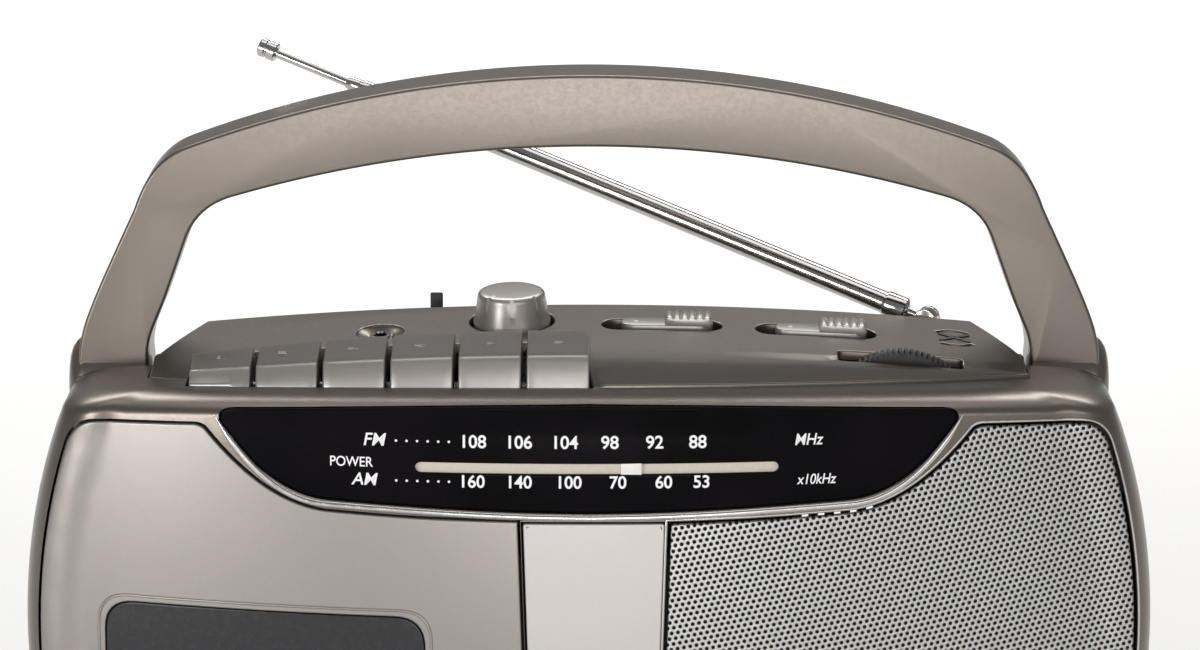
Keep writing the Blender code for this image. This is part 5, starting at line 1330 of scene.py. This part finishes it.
def rear_shell():
    front = PARTING_Y + 0.3
    made = rear_form("shell_rear", 0.0, front, POCKET_Z, CHAMPAGNE, 3)
    groove = extrude("groove", block_outline(-0.6, REAR_Y), POCKET_Z - 8, GROOVE_Z, CHAMPAGNE, "Z")
    upper = extrude(
        "upper", block_outline(-0.6, DECK_REAR_Y - 0.6), POCKET_Z - 8, DECK_Z + 30, CHAMPAGNE, "Z"
    )
    change(upper, [deck_cap()])
    walls = [pocket_wall(side) for side in (-1, 1)]
    change(made, [groove, upper] + walls, "UNION")
    hollow = rear_form("hollow", WALL, front - 1, POCKET_Z, None)
    room = extrude("room", block_outline(-3.1, REAR_Y - WALL), POCKET_Z - 12, GROOVE_Z - WALL, None, "Z")
    open_front = [(x, y if y > front + 1 else front - 1) for x, y in block_outline(-3.1, DECK_REAR_Y - 3.1)]
    shaft = extrude("shaft", open_front, POCKET_Z - 12, DECK_Z + 30, None, "Z")
    change(made, [hollow, room, shaft])
    bosses = []
    for side in (-1, 1):
        base = facing(0, HUB_Y, HUB_Z, (side, 0, 0))
        stub = [(0, 106.7), (7.0, 106.7), (7.0, 115.0), (6.3, 115.7), (0, 115.7)]
        bosses.append(revolve("boss", stub, CHAMPAGNE, base, 48))
    bay = block(
        "bay", (BAY_LEFT - 2, BAY_RIGHT + 2), (15, REAR_Y - 1), (BAY_LOW - 2, BAY_HIGH + 2), CHAMPAGNE
    )
    change(made, bosses + [bay], "UNION")
    cutters = [block("bay_room", (BAY_LEFT, BAY_RIGHT), (17, REAR_Y + 5), (BAY_LOW, BAY_HIGH))]
    inlet_x, inlet_z = (INLET_X - 11.3, INLET_X + 11.3), (INLET_Z - 8.3, INLET_Z + 8.3)
    cutters.append(block("inlet_room", inlet_x, (REAR_Y - 8, REAR_Y + 5), inlet_z))
    for side in (-1, 1):
        base = facing(0, HUB_Y, HUB_Z, (side, 0, 0))
        cutters.append(revolve("pivot_hole", [(0, 92), (3.1, 92), (3.1, 132), (0, 132)], None, base, 32))
    bore = [(0, -15), (4.0, -15), (4.0, -3), (0, -3)]
    cutters.append(revolve("post_hole", bore, None, at(ANTENNA_X, ANTENNA_Y, ANTENNA_Z), 32))
    for k in range(13):
        x = 58 + 4.4 * k
        outline = round_corners([(x, 42), (x + 1.8, 42), (x + 1.8, 78), (x, 78)], [0.8] * 4, 3)
        cutters.append(extrude("vent", outline, REAR_Y - 6, REAR_Y + 4, None))
    for x, z in SCREW_SPOTS:
        well = facing(x, REAR_Y, z, (0, 1, 0))
        cutters.append(revolve("well", [(0, -1.6), (3.4, -1.6), (3.6, 1), (0, 1)], None, well, 32))
    change(made, cutters)
    soften(made)
    piece(made, "cabinet", ["rear_cabinet"])
    for k, (x, z) in enumerate(SCREW_SPOTS):
        screw(f"rear_screw_{k}", facing(x, REAR_Y - 1.5, z, (0, 1, 0)))
    clip = block(
        "clip_back", (-43.0, -39.6), (ANTENNA_Y + 3.5, ANTENNA_Y + 5.0), (GROOVE_Z - 0.5, 131.6), BLACK
    )
    piece(bevel(clip, 0.5, 3), "cabinet")
    seat = block(
        "clip_seat", (-43.0, -39.6), (DECK_REAR_Y + 0.2, ANTENNA_Y + 4.0), (GROOVE_Z - 0.5, 124.6), BLACK
    )
    piece(bevel(seat, 0.4, 3), "cabinet")


def screw(name, base):
    head = revolve(name, [(0, 0), (2.6, 0), (2.6, 0.5), (2.0, 1.0), (0, 1.15)], STEEL, base, 32)
    cross = [
        block("cross", (-1.6, 1.6), (-0.3, 0.3), (0.5, 2), None, base),
        block("cross", (-0.3, 0.3), (-1.6, 1.6), (0.5, 2), None, base),
    ]
    change(head, cross)
    soften(head)
    piece(head, "cabinet")


def deck_cap():
    """What lies above the underside of the deck."""
    points, faces = [], []
    across = [-134.5 + 269 * k / 40 for k in range(41)]
    for x in across:
        for y in (DECK_FRONT_Y - 20, REAR_Y + 20):
            base = deck_z(x, y)
            points += [(x, y, base - DECK_THICKNESS - 0.3), (x, y, base + 60)]
    for k in range(40):
        a, b = 4 * k, 4 * (k + 1)
        faces += [
            (a, a + 2, b + 2, b), (a + 1, b + 1, b + 3, a + 3), (a, b, b + 1, a + 1),
            (a + 2, a + 3, b + 3, b + 2),
        ]
    last = len(points) - 4
    faces += [(0, 1, 3, 2), (last, last + 2, last + 3, last + 1)]
    return mesh_of("deck_cap", points, faces, None)


def pocket_wall(side):
    heights = [POCKET_Z - 4 + (lip_z(HALF_WIDTH - 20) - 3.0 - POCKET_Z + 4) * k / 10 for k in range(11)]
    outer = [(half_width(h) - 0.6, h) for h in heights] + [(half_width(heights[-1]) - 5.0, heights[-1] + 1.8)]
    inner = [(DECK_HALF_WIDTH - 2.0, heights[-1] + 1.8), (DECK_HALF_WIDTH - 2.0, heights[0])]
    return extrude(
        "pocket_wall", [(side * x, z) for x, z in outer + inner], PARTING_Y + 0.3, PARTING_Y + 2.3, CHAMPAGNE
    )


def battery_cover():
    x, z = (BAY_LEFT + 0.3, BAY_RIGHT - 0.3), (BAY_LOW + 0.3, BAY_HIGH - 0.3)
    made = block("cover_plate", x, (REAR_Y - 2.6, REAR_Y - 0.1), z, CHAMPAGNE)
    middle = (BAY_LEFT + BAY_RIGHT) / 2
    cutters = []
    for k in range(9):
        groove = z[1] - 20 + k * 1.7
        cutters.append(
            block("rib", (middle - 14, middle + 14), (REAR_Y - 0.7, REAR_Y + 2), (groove, groove + 0.8))
        )
    cutters.append(extrude("thumb", stadium(18, 5, 10, middle, z[1] - 3.4), REAR_Y - 1.4, REAR_Y + 2, None))
    change(made, cutters)
    bevel(made, 0.25, 2)
    piece(made, "battery_cover", ["battery_cover"])


def carried_over():
    """CAD nodes that keep their shape and get a real finish."""
    finishes = (
        (RUBBER, "foot_front_left foot_front_right foot_rear_left foot_rear_right drive_belt pinch_roller"),
        (PULP, "speaker_cone"),
        (FERRITE, "speaker_magnet ferrite_rod"),
        (BOARD, "main_board"),
        (BRASS, "motor_pulley"),
        (BLACK, "ac_inlet takeup_spindle supply_spindle"),
        (
            STEEL,
            "speaker_frame power_transformer microphone volume_potentiometer function_switch band_switch",
        ),
        (
            STEEL,
            "tuning_capacitor mechanism_chassis key_shaft motor battery_contact_left battery_contact_right",
        ),
        (STEEL, "cassette_holder flywheel head_plate pinch_arm"),
    )
    for paint, names in finishes:
        for name in names.split():
            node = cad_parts[name]
            for slot in node.material_slots:
                slot.material = paint
            if not node.material_slots:
                node.data.materials.append(paint)


# ==== studio ================================================================================================
SKY_STRENGTH = 0.24
# name, place and target in metres, width and height in metres, watts
SOFTBOXES = (
    ("front_softbox", (0.0, -1.7, 0.12), (0, 0, 0.12), (0.6, 0.2), 4.5),
    ("left_softbox", (-1.15, -1.35, 0.3), (0, 0, 0.08), (0.45, 0.45), 9),
    ("wide_softbox", (0.5, -2.0, 0.7), (0, 0, 0.1), (2.2, 0.5), 9),
    ("top_softbox", (0.0, 0.0, 1.3), (0, 0, 0.1), (1.2, 0.5), 3),
    ("far_floor_light", (0.0, 1.7, 2.2), (0, 2.1, 0), (3.0, 0.8), 75),
)


def light(name, place, target, size, power):
    data = bpy.data.lights.new(name, "AREA")
    data.shape = "RECTANGLE"
    data.size, data.size_y = size
    data.energy = power
    made = new_object(name, data)
    made.location = Vector(place)
    made.rotation_euler = (Vector(target) - Vector(place)).to_track_quat("-Z", "Y").to_euler()


def studio():
    floor_paint = Nodes("studio_floor")
    cloud = floor_paint.noise(3.0)
    floor_paint.feed("Base Color", floor_paint.mix(cloud, (0.93, 0.925, 0.915), (0.96, 0.955, 0.945)))
    floor_paint.set(Roughness=0.7)
    data = bpy.data.meshes.new("floor")
    data.from_pydata([(-6, -6, 0), (6, -6, 0), (6, 8, 0), (-6, 8, 0)], [], [(0, 1, 2, 3)])
    object_of("floor", data, floor_paint.material)
    world = bpy.data.worlds.new("studio")
    world.use_nodes = True
    sky = world.node_tree.nodes["Background"]
    sky.inputs["Color"].default_value = (1, 1, 1, 1)
    sky.inputs["Strength"].default_value = SKY_STRENGTH
    bpy.context.scene.world = world
    for softbox in SOFTBOXES:
        light(*softbox)
    view = bpy.context.scene.view_settings
    view.view_transform = "Standard"
    view.look = "None"


front_shell()
door()
grille()
badge()
dial()
deck()
keys()
volume()
sliders()
tuning()
handle()
antenna()
rear_shell()
battery_cover()
carried_over()
studio()
